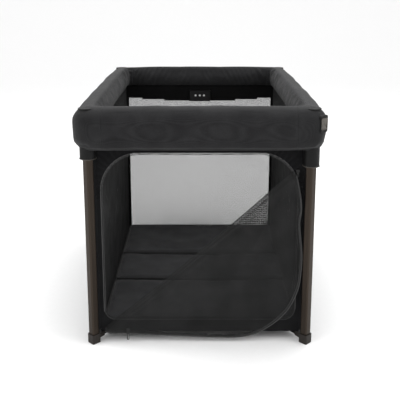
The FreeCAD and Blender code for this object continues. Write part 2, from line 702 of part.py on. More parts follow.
# ------------------------------------------------------------------ walls, door and floor
def wall_plate(label, half_width, plane, position):
    """A sheet of wall cloth: half width, the plane it lies in, and where that plane is."""
    body = new_body(label)
    corners = [
        (f"-({half_width})", "wall_bottom"),
        (half_width, "wall_bottom"),
        (half_width, "wall_top"),
        (f"-({half_width})", "wall_top"),
    ]
    pad(body, outline(body, plane, corners), "cloth", both_ways=True)
    axis = "x" if plane == "YZ_Plane" else "y"
    bind(body, {f"Placement.Base.{axis}": position})
    return finish(label, body)


def end_half_width():
    """The end walls close over the edges of the side walls."""
    return "post_x - wall_inset + cloth / 2"


def side_half_width():
    return "post_y - wall_inset - cloth / 2 - soft_gap"


def front_wall():
    """The end wall with the zipped opening: fabric corners, narrow side strips and a low sill."""
    body = wall_plate("front_wall", end_half_width(), "XZ_Plane", "wall_inset - post_y")
    opening = [
        (f"-{DOOR_HALF}", "door_bottom"),
        (DOOR_HALF, "door_bottom"),
        (DOOR_HALF, "door_top"),
        (f"-{DOOR_HALF}", "door_top"),
    ]
    pocket(body, outline(body, "XZ_Plane", opening), "4 * cloth")
    inside = number("post_x - wall_inset - cloth / 2")

    def is_upper_corner(edge):
        middle = edge.CenterOfMass
        return along(edge, 1) and abs(middle.x) < inside and middle.z > number("door_top") - 1

    soften(body, "door_corner", is_upper_corner)
    return body


def fold_z(x):
    """Height of the fold line at that distance across."""
    return f"fold_start_z + ({DOOR_HALF} + {x}) * fold_rise"


def door_panel():
    """The part of the door that is still zipped in, below the fold line."""
    door = new_body("door_blank")
    edge = f"({DOOR_HALF} - door_gap)"
    low = "door_bottom + door_gap"
    high = "door_top - door_gap"
    corners = [(f"-{edge}", low), (edge, low), (edge, high), (f"-{edge}", high)]
    pad(door, outline(door, "XZ_Plane", corners), "cloth", both_ways=True)

    def is_upper_corner(piece):
        return along(piece, 1) and piece.CenterOfMass.z > number(high) - 1

    soften(door, "door_corner - door_gap", is_upper_corner)
    # Everything under the fold line, as a wedge wider than the door.
    wedge = new_body("door_wedge")
    start_x = f"((door_bottom - fold_start_z) / fold_rise - {DOOR_HALF})"
    corners = [
        (start_x, "door_bottom"),
        (DOOR_HALF, "door_bottom"),
        (DOOR_HALF, fold_z(DOOR_HALF)),
    ]
    pad(wedge, outline(wedge, "XZ_Plane", corners), "2 * cloth", both_ways=True)
    panel = doc.addObject("Part::Common", "door_panel")
    panel.Base = door
    panel.Tool = wedge
    place(panel, y="wall_inset - post_y")
    return finish("door_panel", panel)


def door_flap():
    """The unzipped part of the door, folded over its fold line to hang in front of the rest."""
    body = new_body("door_flap")
    top_x = f"({DOOR_HALF} - flap_overhang)"
    corners = [
        (f"-{DOOR_HALF} + flap_left_set", "fold_start_z - cloth"),
        (FLAP_RIGHT, "flap_bottom"),
        (FLAP_RIGHT, "door_bottom + 2 * flap_corner"),
        (top_x, f"{fold_z(top_x)} - flap_top_set"),
    ]
    pad(body, outline(body, "XZ_Plane", corners), "cloth", both_ways=True)

    def is_lower_corner(edge):
        middle = edge.CenterOfMass
        return along(edge, 1) and middle.x > number(FLAP_RIGHT) - 1 and middle.z < number("flap_corner")

    soften(body, "flap_corner", is_lower_corner)
    bind(body, {"Placement.Base.y": f"-{FLAP_Y}"})
    return finish("door_flap", body)


def floor_cloth():
    """The sheet under the mattress, with a slit for the pull strap."""
    body = new_body("floor_cloth")
    half_x = "(post_x - wall_inset - cloth)"
    half_y = "(post_y - wall_inset - cloth)"
    corners = [
        (f"-{half_x}", f"-{half_y}"),
        (half_x, f"-{half_y}"),
        (half_x, half_y),
        (f"-{half_x}", half_y),
    ]
    pad(body, outline(body, "XY_Plane", corners), "floor_cloth_thickness", both_ways=True)
    slit_x = "(strap_width / 2 + slit_gap)"
    slit_y = "(strap_root + slit_gap)"
    slit = [
        (f"-{slit_x}", f"-{slit_y}"),
        (slit_x, f"-{slit_y}"),
        (slit_x, slit_y),
        (f"-{slit_x}", slit_y),
    ]
    pocket(body, outline(body, "XY_Plane", slit), "4 * floor_cloth_thickness")
    bind(body, {"Placement.Base.z": f"{FLOOR_BOTTOM} + floor_cloth_thickness / 2"})
    return finish("floor_cloth", body)


def mattress_panel(label, low, high, rounded):
    """One stiff padded panel. The rounded ends are the mattress's own outer corners."""
    body = new_body(label)
    corners = [
        (f"-{MATTRESS_HALF_X}", low),
        (MATTRESS_HALF_X, low),
        (MATTRESS_HALF_X, high),
        (f"-{MATTRESS_HALF_X}", high),
    ]
    pad(body, outline(body, "XY_Plane", corners), "mattress_thick")
    if rounded:
        soften(body, "mattress_corner",
               lambda edge: along(edge, 2) and edge.CenterOfMass.y * rounded > number("mattress_mid"))
    bind(body, {"Placement.Base.z": f"{FLOOR_TOP} + mattress_gap"})
    return finish(label, body)


def back_patch():
    """The plain patch sewn high on the inside of the back wall."""
    body = new_body("back_patch")
    half = "patch_width / 2"
    corners = [
        (f"-{half}", "patch_z - patch_height / 2"),
        (half, "patch_z - patch_height / 2"),
        (half, "patch_z + patch_height / 2"),
        (f"-{half}", "patch_z + patch_height / 2"),
    ]
    pad(body, outline(body, "XZ_Plane", corners), "patch_thick", both_ways=True)
    soften(body, "patch_corner", lambda edge: along(edge, 1))
    inner_face = "post_y - wall_inset - cloth / 2 - patch_thick / 2 - patch_gap"
    bind(body, {"Placement.Base.y": inner_face})
    return finish("back_patch", body)


# ------------------------------------------------------------------ release button and zip sliders
def facing_corner(thing):
    """Turns a piece built along +X to face out of the front right corner, at its post."""
    turn(thing, "-45 deg")
    return place(thing, "post_x", "-post_y")


def release_button():
    """Housing, button and spring, on the diagonal of the front right corner."""
    half = "housing_width / 2"
    low = "button_z - housing_height / 2"
    high = "button_z + housing_height / 2"
    shell = box("housing_block", ("housing_root", f"-{half}", low), ("housing_reach", half, high))
    shell = round_edges("housing_rounded", shell, "housing_corner", lambda edge: along(edge, 0))
    well = box(
        "housing_well",
        ("housing_root + housing_floor", f"housing_wall - {half}", "button_z - well_half"),
        ("housing_reach + overlap", f"{half} - housing_wall", "button_z + well_half"),
    )
    well = round_edges("housing_well_rounded", well, "well_corner", lambda edge: along(edge, 0))
    facing_corner(finish("button_housing", cut("button_housing", shell, [well])))

    back = "(housing_reach - button_set_in - button_thick)"
    key = box(
        "button_block",
        (back, f"housing_wall + button_gap - {half}", "button_z - well_half + button_gap"),
        (f"{back} + button_thick", f"{half} - housing_wall - button_gap",
         "button_z + well_half - button_gap"),
    )
    key = round_edges("button_rounded", key, "well_corner - button_gap", lambda edge: along(edge, 0))
    facing_corner(finish("release_button", group("release_button", [key])))

    turns = []
    start = "(housing_root + housing_floor + spring_wire + spring_gap)"
    end = f"({back} - spring_wire - spring_gap)"
    count = 4
    for i in range(count):
        ring = doc.addObject("Part::Torus", f"spring_turn_{i}")
        ring.Placement = FreeCAD.Placement(FreeCAD.Vector(), AXES["x"])
        bind(ring, {"Radius1": "spring_radius", "Radius2": "spring_wire"})
        place(ring, f"{start} + ({end} - {start}) * {i} / {count - 1}", "0", "button_z")
        turns.append(ring)
    if number(end) - number(start) < count:
        raise RuntimeError("the button spring has no room")
    facing_corner(finish("button_spring", group("button_spring", turns)))


def latch_bolt():
    """The bolt that the button draws back into the front right bracket. Its tip stops short of the eye."""
    length = "latch_tip - latch_tail"
    bolt = rod("latch_bolt", "latch_radius", length, ("-latch_tip", "0", "rail_pivot_z"), "x")
    place(bolt, "post_x - latch_tip", "-post_y", "rail_pivot_z")
    return finish("latch_bolt", bolt)


def zip_slider(label, x, y, z, tab):
    """A slider body with a bridge, and a flat pull tab where it has one."""
    half = "slider_width / 2"
    body = box(label + "_block", (f"-{half}", "-slider_thick", "-slider_height / 2"),
               (half, "0", "slider_height / 2"))
    body = round_edges(label + "_body", body, "slider_corner", lambda edge: along(edge, 1))
    parts = [body]
    if tab:
        # The tab hangs from the slider's bridge, in front of its face.
        lower_end = "(tab_start - slider_height / 2 - tab_length)"
        blade = box(label + "_blade", ("-tab_half", "-slider_thick - tab_thick", lower_end),
                    ("tab_half", "-slider_thick", "tab_root - slider_height / 2"))
        hole = rod(label + "_hole", "tab_hole", "3 * tab_thick",
                   ("0", "-slider_thick - 2 * tab_thick", f"{lower_end} + tab_hole_rise"), "y")
        parts = [fuse(label + "_whole", [body, cut(label + "_tab", blade, [hole])])]
    return finish(label, place(group(label, parts), x, y, z))


# ------------------------------------------------------------------ the whole playpen
for corner_name in CORNERS:
    leg_tube(corner_name)
    foot(corner_name)
    corner_bracket(corner_name)
    corner_cover(corner_name)
    base_leg(corner_name)
for side_name, ends in HALVES.items():
    for end_sign in ends:
        rail_half(side_name, end_sign)
        rail_cover(side_name, end_sign)
hub()
pull_strap()
wall_plate("back_wall", end_half_width(), "XZ_Plane", "post_y - wall_inset")
wall_plate("left_wall", side_half_width(), "YZ_Plane", "wall_inset - post_x")
wall_plate("right_wall", side_half_width(), "YZ_Plane", "post_x - wall_inset")
front_wall()
door_panel()
door_flap()
floor_cloth()
mattress_panel("mattress_front", f"-{MATTRESS_HALF_Y}", "-(mattress_mid / 2 + soft_gap)", -1)
mattress_panel("mattress_middle", "-(mattress_mid / 2 - soft_gap)", "mattress_mid / 2 - soft_gap", 0)
mattress_panel("mattress_back", "mattress_mid / 2 + soft_gap", MATTRESS_HALF_Y, 1)
back_patch()
release_button()
latch_bolt()
zip_slider("zip_slider_upper", f"{DOOR_HALF} - slider_margin",
           "wall_inset - post_y - cloth / 2 - slider_gap", "slider_z", False)
zip_slider("zip_slider_lower", f"low_slider_margin - {DOOR_HALF}", f"-{FLAP_Y} - cloth / 2 - slider_gap",
           "low_slider_z", True)

doc.recompute()

# ------------------------------------------------------------------ checks and export
for thing in doc.Objects:
    if {"Invalid", "Error"} & set(thing.State):
        raise RuntimeError(f"{thing.Label} failed: {thing.State}")
for part in subparts:
    if part.Shape.isNull() or not part.Shape.isValid() or part.Shape.Volume <= 0:
        raise RuntimeError(f"{part.Label} has no sound shape")

os.makedirs("parts", exist_ok=True)
for part in subparts:
    part.Shape.exportStep(f"parts/{part.Label}.step")
print(len(subparts), "sub-parts")
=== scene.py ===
# %% [markdown]
# # A folding playpen, dressed around its working frame
# The frame, hinges and sizes are already settled in the CAD model. This lesson adds what the eye sees:
# padded covers, see-through mesh, a half-open zipped door, a folding mattress and the finish of every part.
# %% Load the working frame
import math

import bpy
from mathutils import Matrix, Vector, noise


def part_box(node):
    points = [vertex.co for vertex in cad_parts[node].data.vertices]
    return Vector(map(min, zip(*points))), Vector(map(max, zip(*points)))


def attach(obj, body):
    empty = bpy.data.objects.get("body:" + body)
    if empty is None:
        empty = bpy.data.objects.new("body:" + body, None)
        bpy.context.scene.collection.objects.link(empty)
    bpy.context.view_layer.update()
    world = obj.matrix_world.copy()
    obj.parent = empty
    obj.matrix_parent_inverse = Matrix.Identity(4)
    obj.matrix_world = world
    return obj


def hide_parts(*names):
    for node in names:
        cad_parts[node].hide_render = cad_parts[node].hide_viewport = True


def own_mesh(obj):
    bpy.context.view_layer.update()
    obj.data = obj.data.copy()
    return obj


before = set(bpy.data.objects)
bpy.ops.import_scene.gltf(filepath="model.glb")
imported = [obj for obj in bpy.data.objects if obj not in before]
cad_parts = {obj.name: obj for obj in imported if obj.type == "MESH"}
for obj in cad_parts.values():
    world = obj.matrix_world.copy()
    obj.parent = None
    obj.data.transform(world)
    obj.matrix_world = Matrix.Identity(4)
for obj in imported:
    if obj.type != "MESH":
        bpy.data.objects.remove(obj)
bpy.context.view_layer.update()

# %% [markdown]
# ## Sizes
# Places come from the frame, so a cover stays on its rail whatever size the frame is. Only what the CAD
# model keeps to itself, such as the shape of the door, is named here, in metres.
# %% Name the places on the frame
LEG_LOW, LEG_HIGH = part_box("leg_tube_back_right")
POST_X, POST_Y = (LEG_LOW.x + LEG_HIGH.x) / 2, (LEG_LOW.y + LEG_HIGH.y) / 2
COVER_LOW, COVER_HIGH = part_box("corner_cover_front_left")
END_SPAN = -COVER_HIGH.x
SIDE_SPAN = -COVER_HIGH.y
WALL_LOW, WALL_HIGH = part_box("back_wall")
WALL_Y = (WALL_LOW.y + WALL_HIGH.y) / 2
SIDE_LOW, SIDE_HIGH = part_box("right_wall")
DOOR_LOW, DOOR_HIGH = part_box("door_panel")
FLAP_LOW, FLAP_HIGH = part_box("door_flap")
FLAP_Y = (FLAP_LOW.y + FLAP_HIGH.y) / 2
CORNERS = {"front_left": (-1, -1), "front_right": (1, -1), "back_left": (-1, 1), "back_right": (1, 1)}

# %% [markdown]
# ## Camera, light and floor
# The camera comes first, so that every piece can be judged from it. It stands in front of the door, above
# the rail, and looks down into the playpen. A slight shift keeps the legs close to upright in the picture.
# %% Set the camera
EYE = Vector((0.001, -2.531, 1.117))
LOOK_DOWN = math.radians(12.75)
camera_data = bpy.data.cameras.new("camera")
camera_data.sensor_width = 36
camera_data.lens = 63.7
camera_data.shift_y = -0.15
camera = bpy.data.objects.new("camera", camera_data)
bpy.context.scene.collection.objects.link(camera)
camera.location = EYE
camera.rotation_euler = (math.radians(90) - LOOK_DOWN, 0, 0)
bpy.context.scene.camera = camera
print("camera lens", camera_data.lens, "mm")


# %% [markdown]
# Only one thing may be selected before an operator runs, because an operator acts on all that is selected.
# These helpers select, pick by place, and apply.
# %% Helpers for working by hand in code
def select_only(*things):
    if bpy.context.object and bpy.context.object.mode != "OBJECT":
        bpy.ops.object.mode_set(mode="OBJECT")
    bpy.ops.object.select_all(action="DESELECT")
    for thing in things:
        thing.select_set(True)
    bpy.context.view_layer.objects.active = things[0]
    return things[0]


def pick(thing, kind, test):
    """Enters edit mode with just the vertices, edges or faces selected whose points all pass the test."""
    select_only(thing)
    mesh = thing.data
    for group in (mesh.vertices, mesh.edges, mesh.polygons):
        group.foreach_set("select", [False] * len(group))
    items = {"VERT": mesh.vertices, "EDGE": mesh.edges, "FACE": mesh.polygons}[kind]
    for item in items:
        indices = [item.index] if kind == "VERT" else item.vertices
        item.select = all(test(mesh.vertices[i].co) for i in indices)
    bpy.context.tool_settings.mesh_select_mode = (kind == "VERT", kind == "EDGE", kind == "FACE")
    bpy.ops.object.mode_set(mode="EDIT")


def leave_edit_mode():
    bpy.ops.object.mode_set(mode="OBJECT")


def pick_running(thing, axis, over, test=lambda point: True):
    """Selects the edges that run further than that along an axis, with all edges of faces in the test."""
    pick(thing, "EDGE", test)
    leave_edit_mode()
    for edge in thing.data.edges:
        a, b = (thing.data.vertices[i].co for i in edge.vertices)
        edge.select = edge.select and abs(a[axis] - b[axis]) > over
    bpy.ops.object.mode_set(mode="EDIT")


def edit_all(thing):
    """Enters edit mode with the whole piece selected."""
    select_only(thing)
    bpy.ops.object.mode_set(mode="EDIT")
    bpy.ops.mesh.select_all(action="SELECT")


def bevel_all(thing, offset, segments):
    edit_all(thing)
    bpy.ops.mesh.bevel(offset=offset, segments=segments, affect="EDGES")
    leave_edit_mode()


def open_face(thing, test, border):
    """Takes the middle out of a face and leaves a border round it."""
    pick(thing, "FACE", test)
    bpy.ops.mesh.inset(thickness=border)
    bpy.ops.mesh.delete(type="ONLY_FACE")


def turn_outwards(thing):
    edit_all(thing)
    bpy.ops.mesh.normals_make_consistent(inside=False)
    leave_edit_mode()


def copy_as(thing, name):
    """A copy with its own mesh."""
    made = thing.copy()
    made.data = thing.data.copy()
    made.name = name
    made.data.name = name
    bpy.context.scene.collection.objects.link(made)
    return made


def modify(thing, kind, **settings):
    """Adds one modifier with its settings and applies it."""
    select_only(thing)
    modifier = thing.modifiers.new(kind.lower(), kind)
    for key, value in settings.items():
        setattr(modifier, key, value)
    bpy.ops.object.modifier_apply(modifier=modifier.name)
    return thing


def smooth(thing, degrees=40):
    select_only(thing)
    bpy.ops.object.shade_smooth_by_angle(angle=math.radians(degrees))
    return thing


def move_points(thing, rule):
    """Moves every vertex to where the rule says."""
    for vertex in thing.data.vertices:
        vertex.co = rule(vertex.co.copy())
    thing.data.update()
    return thing


def name_new(name):
    thing = bpy.context.object
    thing.name = name
    thing.data.name = name
    return thing


def add_block(name, low, high):
    """A cube primitive stretched between two corners, with its place in its mesh."""
    low, high = Vector(low), Vector(high)
    bpy.ops.object.select_all(action="DESELECT")
    bpy.ops.mesh.primitive_cube_add(size=1, location=(low + high) / 2, scale=high - low)
    bpy.ops.object.transform_apply(location=True, rotation=True, scale=True)
    return name_new(name)


def ease(x):
    x = min(1.0, max(0.0, x))
    return x * x * (3 - 2 * x)


print("helpers ready")

# %% [markdown]
# The floor and the backdrop are one pale sheet that curves up behind the playpen, as in a studio.
# They aren't part of the object.
# %% Lay the floor and curve it up into a backdrop
bpy.ops.object.select_all(action="DESELECT")
bpy.ops.mesh.primitive_grid_add(x_subdivisions=2, y_subdivisions=48, size=1, location=(0, 0, 0))
floor = name_new("studio_floor")
FLOOR_HALF, FLOOR_FRONT, BEND_START, BEND_RADIUS = 12.0, -9.0, 5.0, 3.0


def floor_curve(point):
    run = FLOOR_FRONT + (point.y + 0.5) * 24
    over = run - BEND_START
    if over <= 0:
        return Vector((point.x * 2 * FLOOR_HALF, run, 0))
    angle = min(over / BEND_RADIUS, math.pi / 2)
    rise = BEND_RADIUS * (1 - math.cos(angle)) + max(0, over - BEND_RADIUS * math.pi / 2)
    return Vector((point.x * 2 * FLOOR_HALF, BEND_START + BEND_RADIUS * math.sin(angle), rise))


move_points(floor, floor_curve)
smooth(floor, 60)
print("floor faces", len(floor.data.polygons))


# %% [markdown]
# One soft box hangs overhead and a weaker one stands on each side, under an even white sky, so that dark
# cloth keeps its shape and the shadow under the legs stays soft. The standard view keeps white paper white.
# %% Hang the soft boxes
def soft_box(name, place, aim, size, watts):
    data = bpy.data.lights.new(name, "AREA")
    data.shape = "SQUARE"
    data.size = size
    data.energy = watts
    lamp = bpy.data.objects.new(name, data)
    bpy.context.scene.collection.objects.link(lamp)
    lamp.location = place
    lamp.rotation_euler = (Vector(aim) - Vector(place)).to_track_quat("-Z", "Y").to_euler()
    return lamp


soft_box("soft_box_top", (0.3, 0.6, 3.6), (0, 0, 0.4), 2.6, 75)
soft_box("soft_box_left", (-2.6, -1.9, 2.3), (0, -0.3, 0.4), 1.8, 32)
soft_box("soft_box_right", (2.8, -1.6, 2.0), (0, -0.2, 0.4), 1.8, 28)
sky = bpy.data.worlds.new("pale_sky")
bpy.context.scene.world = sky
sky.use_nodes = True
sky.node_tree.nodes["Background"].inputs["Color"].default_value = (1, 1, 1, 1)
sky.node_tree.nodes["Background"].inputs["Strength"].default_value = 1.0
bpy.context.scene.view_settings.view_transform = "Standard"


# %% [markdown]
# ## Finishes
# Every finish starts from the real material. One function turns a hex colour to linear light, and one adds
# a node with its settings and links. Patterns read Object coordinates in metres, so a scale is one over a
# size.
# %% Colour and node helpers
def linear(hex_colour):
    """An sRGB hex colour, such as #2d2d2d, as linear red, green, blue and alpha."""
    values = [int(hex_colour[i:i + 2], 16) / 255 for i in (1, 3, 5)]
    return [v / 12.92 if v <= 0.04045 else ((v + 0.055) / 1.055) ** 2.4 for v in values] + [1.0]


def add_node(material, kind, inputs=None, **settings):
    """Adds a node. A setting is an attribute; an input is a number, a colour, or a socket to link from."""
    made = material.node_tree.nodes.new(kind)
    for key, value in settings.items():
        setattr(made, key, value)
    for key, value in (inputs or {}).items():
        if isinstance(value, bpy.types.NodeSocket):
            material.node_tree.links.new(value, made.inputs[key])
        else:
            made.inputs[key].default_value = value
    return made


def new_material(name, **surface):
    """A material with its Principled shader's own sockets set."""
    material = bpy.data.materials.new(name)
    material.use_nodes = True
    shader = material.node_tree.nodes["Principled BSDF"]
    for key, value in surface.items():
        shader.inputs[key.replace("_", " ")].default_value = value
    return material, shader


def object_xyz(material):
    coordinates = add_node(material, "ShaderNodeTexCoord")
    return coordinates.outputs["Object"]


print("a mid charcoal is", [round(v, 3) for v in linear("#2d2d2d")])


# %% [markdown]
# ### Woven polyester
# Covers, walls and mattress are plain-weave polyester: matte, slightly fuzzy at a grazing angle, each
# thread a small hill. Three sine waves, one along each axis, add up to a basket of hills on any face. Real
# threads are about 0.4 mm apart, too fine to show, so they are drawn a little over a millimetre apart.
# %% Weave the cloths
def woven_cloth(name, shade, thread_shade, thread, depth, roughness=0.85, sheen=0.25):
    """Plain weave of that colour, with threads that far apart and that deep, in metres."""
    material, shader = new_material(name, Roughness=roughness, Sheen_Weight=sheen, Sheen_Roughness=0.5,
                                    Specular_IOR_Level=0.08)
    xyz = object_xyz(material)
    wave = 2 * math.pi / thread
    scaled = add_node(material, "ShaderNodeVectorMath", {0: xyz, 1: (wave, wave, wave)}, operation="MULTIPLY")
    hills = add_node(material, "ShaderNodeVectorMath", {0: scaled.outputs[0]}, operation="SINE")
    height = add_node(material, "ShaderNodeVectorMath", {0: hills.outputs[0], 1: (0.33, 0.33, 0.33)},
                      operation="DOT_PRODUCT")
    # Yarn is dyed a little unevenly, in patches a few centimetres wide and in single threads.
    patches = add_node(material, "ShaderNodeTexNoise", {"Vector": xyz, "Scale": 22.0, "Detail": 4.0})
    fibres = add_node(material, "ShaderNodeTexNoise", {"Vector": xyz, "Scale": 420.0, "Detail": 3.0})
    spread = add_node(material, "ShaderNodeMath", {0: patches.outputs["Fac"], 1: fibres.outputs["Fac"]},
                      operation="MULTIPLY")
    lift = add_node(material, "ShaderNodeMath", {0: height.outputs["Value"], 1: 0.22, 2: spread.outputs[0]},
                    operation="MULTIPLY_ADD")
    tone = add_node(material, "ShaderNodeMapRange", {0: lift.outputs[0], 1: 0.0, 2: 0.6, 3: 0.0, 4: 1.0})
    colour = add_node(material, "ShaderNodeMix", {"Factor": tone.outputs[0], 6: linear(shade),
                                                  7: linear(thread_shade)}, data_type="RGBA")
    bump = add_node(material, "ShaderNodeBump", {"Height": height.outputs["Value"], "Distance": depth,
                                                 "Strength": 0.6})
    links = material.node_tree.links
    links.new(colour.outputs[2], shader.inputs["Base Color"])
    links.new(bump.outputs[0], shader.inputs["Normal"])
    return material


cover_cloth = woven_cloth("charcoal_polyester_cover", "#161617", "#2c2c2d", 0.0013, 0.0002, sheen=0.10)
wall_cloth = woven_cloth("black_polyester_wall", "#0f0f10", "#1c1c1d", 0.0012, 0.0002, sheen=0.04)
band_cloth = woven_cloth("black_polyester_band", "#070707", "#101011", 0.0012, 0.0002, sheen=0.03)
mattress_cloth = woven_cloth("charcoal_polyester_mattress", "#1c1c1d", "#383839", 0.0013, 0.0002, sheen=0.08)
tape_cloth = woven_cloth("black_binding_tape", "#151515", "#2e2e2e", 0.0018, 0.0003, sheen=0.1)
webbing = woven_cloth("black_webbing", "#101010", "#262626", 0.0022, 0.0004, sheen=0.1)
print("woven cloths:", [m.name for m in (cover_cloth, wall_cloth, band_cloth, mattress_cloth)])


# %% [markdown]
# ### Knitted mesh
# The walls and the door are a knitted polyester mesh that a parent can see through. A product of two sines
# makes a grid of rounded holes. The sheet has a real thickness, so at a grazing angle the two faces' holes
# no longer line up and the wall looks solid, as the real one does. Real holes are about 1.5 mm apart, and
# they are drawn twice as coarse.
# %% Knit the meshes
def knitted_mesh(name, shade, hole_spacing, open_above, axis="X"):
    """Mesh with holes wherever the product of the two sines, along the axis and up, is above the value."""
    material, shader = new_material(name, Roughness=0.8, Specular_IOR_Level=0.0)
    xyz = object_xyz(material)
    parts = add_node(material, "ShaderNodeSeparateXYZ", {0: xyz})
    wave = math.pi / hole_spacing
    sines = []
    for socket in (parts.outputs[axis], parts.outputs["Z"]):
        turns = add_node(material, "ShaderNodeMath", {0: socket, 1: wave}, operation="MULTIPLY")
        sines.append(add_node(material, "ShaderNodeMath", {0: turns.outputs[0]}, operation="SINE"))
    product = add_node(material, "ShaderNodeMath", {0: sines[0].outputs[0], 1: sines[1].outputs[0]},
                       operation="MULTIPLY")
    size = add_node(material, "ShaderNodeMath", {0: product.outputs[0]}, operation="ABSOLUTE")
    thread = add_node(material, "ShaderNodeMath", {0: size.outputs[0], 1: open_above}, operation="LESS_THAN")
    patches = add_node(material, "ShaderNodeTexNoise", {"Vector": xyz, "Scale": 18.0, "Detail": 3.0})
    tone = add_node(material, "ShaderNodeMapRange", {0: patches.outputs["Fac"], 1: 0.3, 2: 0.7, 3: 0.85,
                                                     4: 1.2})
    colour = add_node(material, "ShaderNodeVectorMath", {0: linear(shade)[:3], "Scale": tone.outputs[0]},
                      operation="SCALE")
    bump = add_node(material, "ShaderNodeBump", {"Height": size.outputs[0], "Distance": 0.0004},
                    invert=True)
    links = material.node_tree.links
    links.new(colour.outputs[0], shader.inputs["Base Color"])
    links.new(thread.outputs[0], shader.inputs["Alpha"])
    links.new(bump.outputs[0], shader.inputs["Normal"])
    return material


wall_mesh = knitted_mesh("black_knitted_mesh_wall", "#181818", 0.0030, 0.45)
side_mesh = knitted_mesh("black_knitted_mesh_side", "#3a3a3a", 0.0030, 0.80, axis="Y")
door_mesh = knitted_mesh("black_knitted_mesh_door", "#2f2f2f", 0.0030, 0.27)
print("meshes:", wall_mesh.name, door_mesh.name)


# %% [markdown]
# ### Metal and plastic
# The legs are extruded aluminium, brushed along their length and anodised bronze: a metal, so its colour is
# its reflection. Feet, brackets and hub are moulded nylon with a fine spark texture. Rails and base legs
# are steel tube under black powder coat.
# %% Finish the metals and mouldings
def brushed_metal(name, shade, second_shade, roughness, grain, anisotropic=0.0):
    """Metal with lines drawn along Z. Grain is the distance between lines, in metres."""
    material, shader = new_material(name, Metallic=1.0, Roughness=roughness, Anisotropic=anisotropic)
    stretch = add_node(material, "ShaderNodeMapping", {0: object_xyz(material),
                                                       "Scale": (1 / grain, 1 / grain, 3.0)})
    lines = add_node(material, "ShaderNodeTexNoise", {"Vector": stretch.outputs[0], "Scale": 1.0,
                                                      "Detail": 3.0})
    tone = add_node(material, "ShaderNodeMix", {"Factor": lines.outputs["Fac"], 6: linear(shade),
                                                7: linear(second_shade)}, data_type="RGBA")
    rough = add_node(material, "ShaderNodeMapRange", {0: lines.outputs["Fac"], 1: 0.3, 2: 0.7,
                                                      3: roughness - 0.06, 4: roughness + 0.08})
    bump = add_node(material, "ShaderNodeBump", {"Height": lines.outputs["Fac"], "Distance": 0.00005})
    links = material.node_tree.links
    links.new(tone.outputs[2], shader.inputs["Base Color"])
    links.new(rough.outputs[0], shader.inputs["Roughness"])
    links.new(bump.outputs[0], shader.inputs["Normal"])
    return material


def moulded(name, shade, roughness, grain, depth, coat=0.0, metallic=0.0):
    """Moulded plastic or paint whose skin has bumps that far apart and that deep, in metres."""
    material, shader = new_material(name, Roughness=roughness, Coat_Weight=coat, Metallic=metallic,
                                    Specular_IOR_Level=0.2)
    xyz = object_xyz(material)
    spark = add_node(material, "ShaderNodeTexVoronoi", {"Vector": xyz, "Scale": 1 / grain})
    wear = add_node(material, "ShaderNodeTexNoise", {"Vector": xyz, "Scale": 30.0, "Detail": 5.0})
    rough = add_node(material, "ShaderNodeMapRange", {0: wear.outputs["Fac"], 1: 0.3, 2: 0.7,
                                                      3: roughness - 0.08, 4: roughness + 0.08})
    tone = add_node(material, "ShaderNodeMapRange", {0: wear.outputs["Fac"], 1: 0.3, 2: 0.7, 3: 0.85,
                                                     4: 1.15})
    colour = add_node(material, "ShaderNodeVectorMath", {0: linear(shade)[:3], "Scale": tone.outputs[0]},
                      operation="SCALE")
    bump = add_node(material, "ShaderNodeBump", {"Height": spark.outputs["Distance"], "Distance": depth})
    links = material.node_tree.links
    links.new(colour.outputs[0], shader.inputs["Base Color"])
    links.new(rough.outputs[0], shader.inputs["Roughness"])
    links.new(bump.outputs[0], shader.inputs["Normal"])
    return material


bronze_anodised = brushed_metal("bronze_anodised_aluminium", "#332d28", "#413a34", 0.34, 0.0006, 0.4)
satin_silver = brushed_metal("satin_silver_rim", "#57544f", "#6b6762", 0.42, 0.0005)
bright_steel = brushed_metal("zinc_plated_steel", "#9a9c9e", "#b4b6b8", 0.28, 0.0005)
foot_nylon = moulded("bronze_grey_nylon_foot", "#26221f", 0.5, 0.0009, 0.00008)
black_nylon = moulded("black_spark_textured_nylon", "#080808", 0.55, 0.0008, 0.0001)
powder_coat = moulded("black_powder_coated_steel", "#101010", 0.45, 0.0012, 0.00008, coat=0.2)
# The lip's grey, lighter than the black collar, is a painted highlight on the collar's rim.
lip_nylon_painted_highlight = moulded("grey_nylon_lip_painted_highlight", "#4a4743", 0.4, 0.0008, 0.00004)
binding_cloth = woven_cloth("charcoal_bound_edge", "#363636", "#444444", 0.0012, 0.0001, sheen=0.15)
bronze_key = moulded("bronze_brown_key", "#3d332c", 0.5, 0.0006, 0.00003)
# The zip coil is grey, lighter than its black polyester, so its colour paints the glints of the teeth.
zip_coil_painted_glint = moulded("black_polyester_zip_coil", "#333333", 0.4, 0.0009, 0.00005)
zip_lacquer = moulded("black_lacquered_zinc", "#1a1a1a", 0.35, 0.002, 0.00003, coat=0.4, metallic=0.2)
patch_rubber = moulded("black_soft_rubber_patch", "#101010", 0.55, 0.0007, 0.00005)
pale_print = moulded("pale_grey_rubber_dots", "#c9c9c9", 0.6, 0.0007, 0.00003)
grey_thread = woven_cloth("grey_sewing_thread", "#3c3c3c", "#5c5c5c", 0.0008, 0.0001, sheen=0.2)
studio_paper, paper_shader = new_material("white_studio_paper", Roughness=0.9, Specular_IOR_Level=0.1)
fibre = add_node(studio_paper, "ShaderNodeTexNoise", {"Vector": object_xyz(studio_paper), "Scale": 60.0})
paper_tone = add_node(studio_paper, "ShaderNodeMix", {"Factor": fibre.outputs["Fac"], 6: linear("#f4f4f4"),
                                                      7: linear("#f8f8f8")}, data_type="RGBA")
studio_paper.node_tree.links.new(paper_tone.outputs[2], paper_shader.inputs["Base Color"])
floor.data.materials.append(studio_paper)
print("materials made:", len(bpy.data.materials))

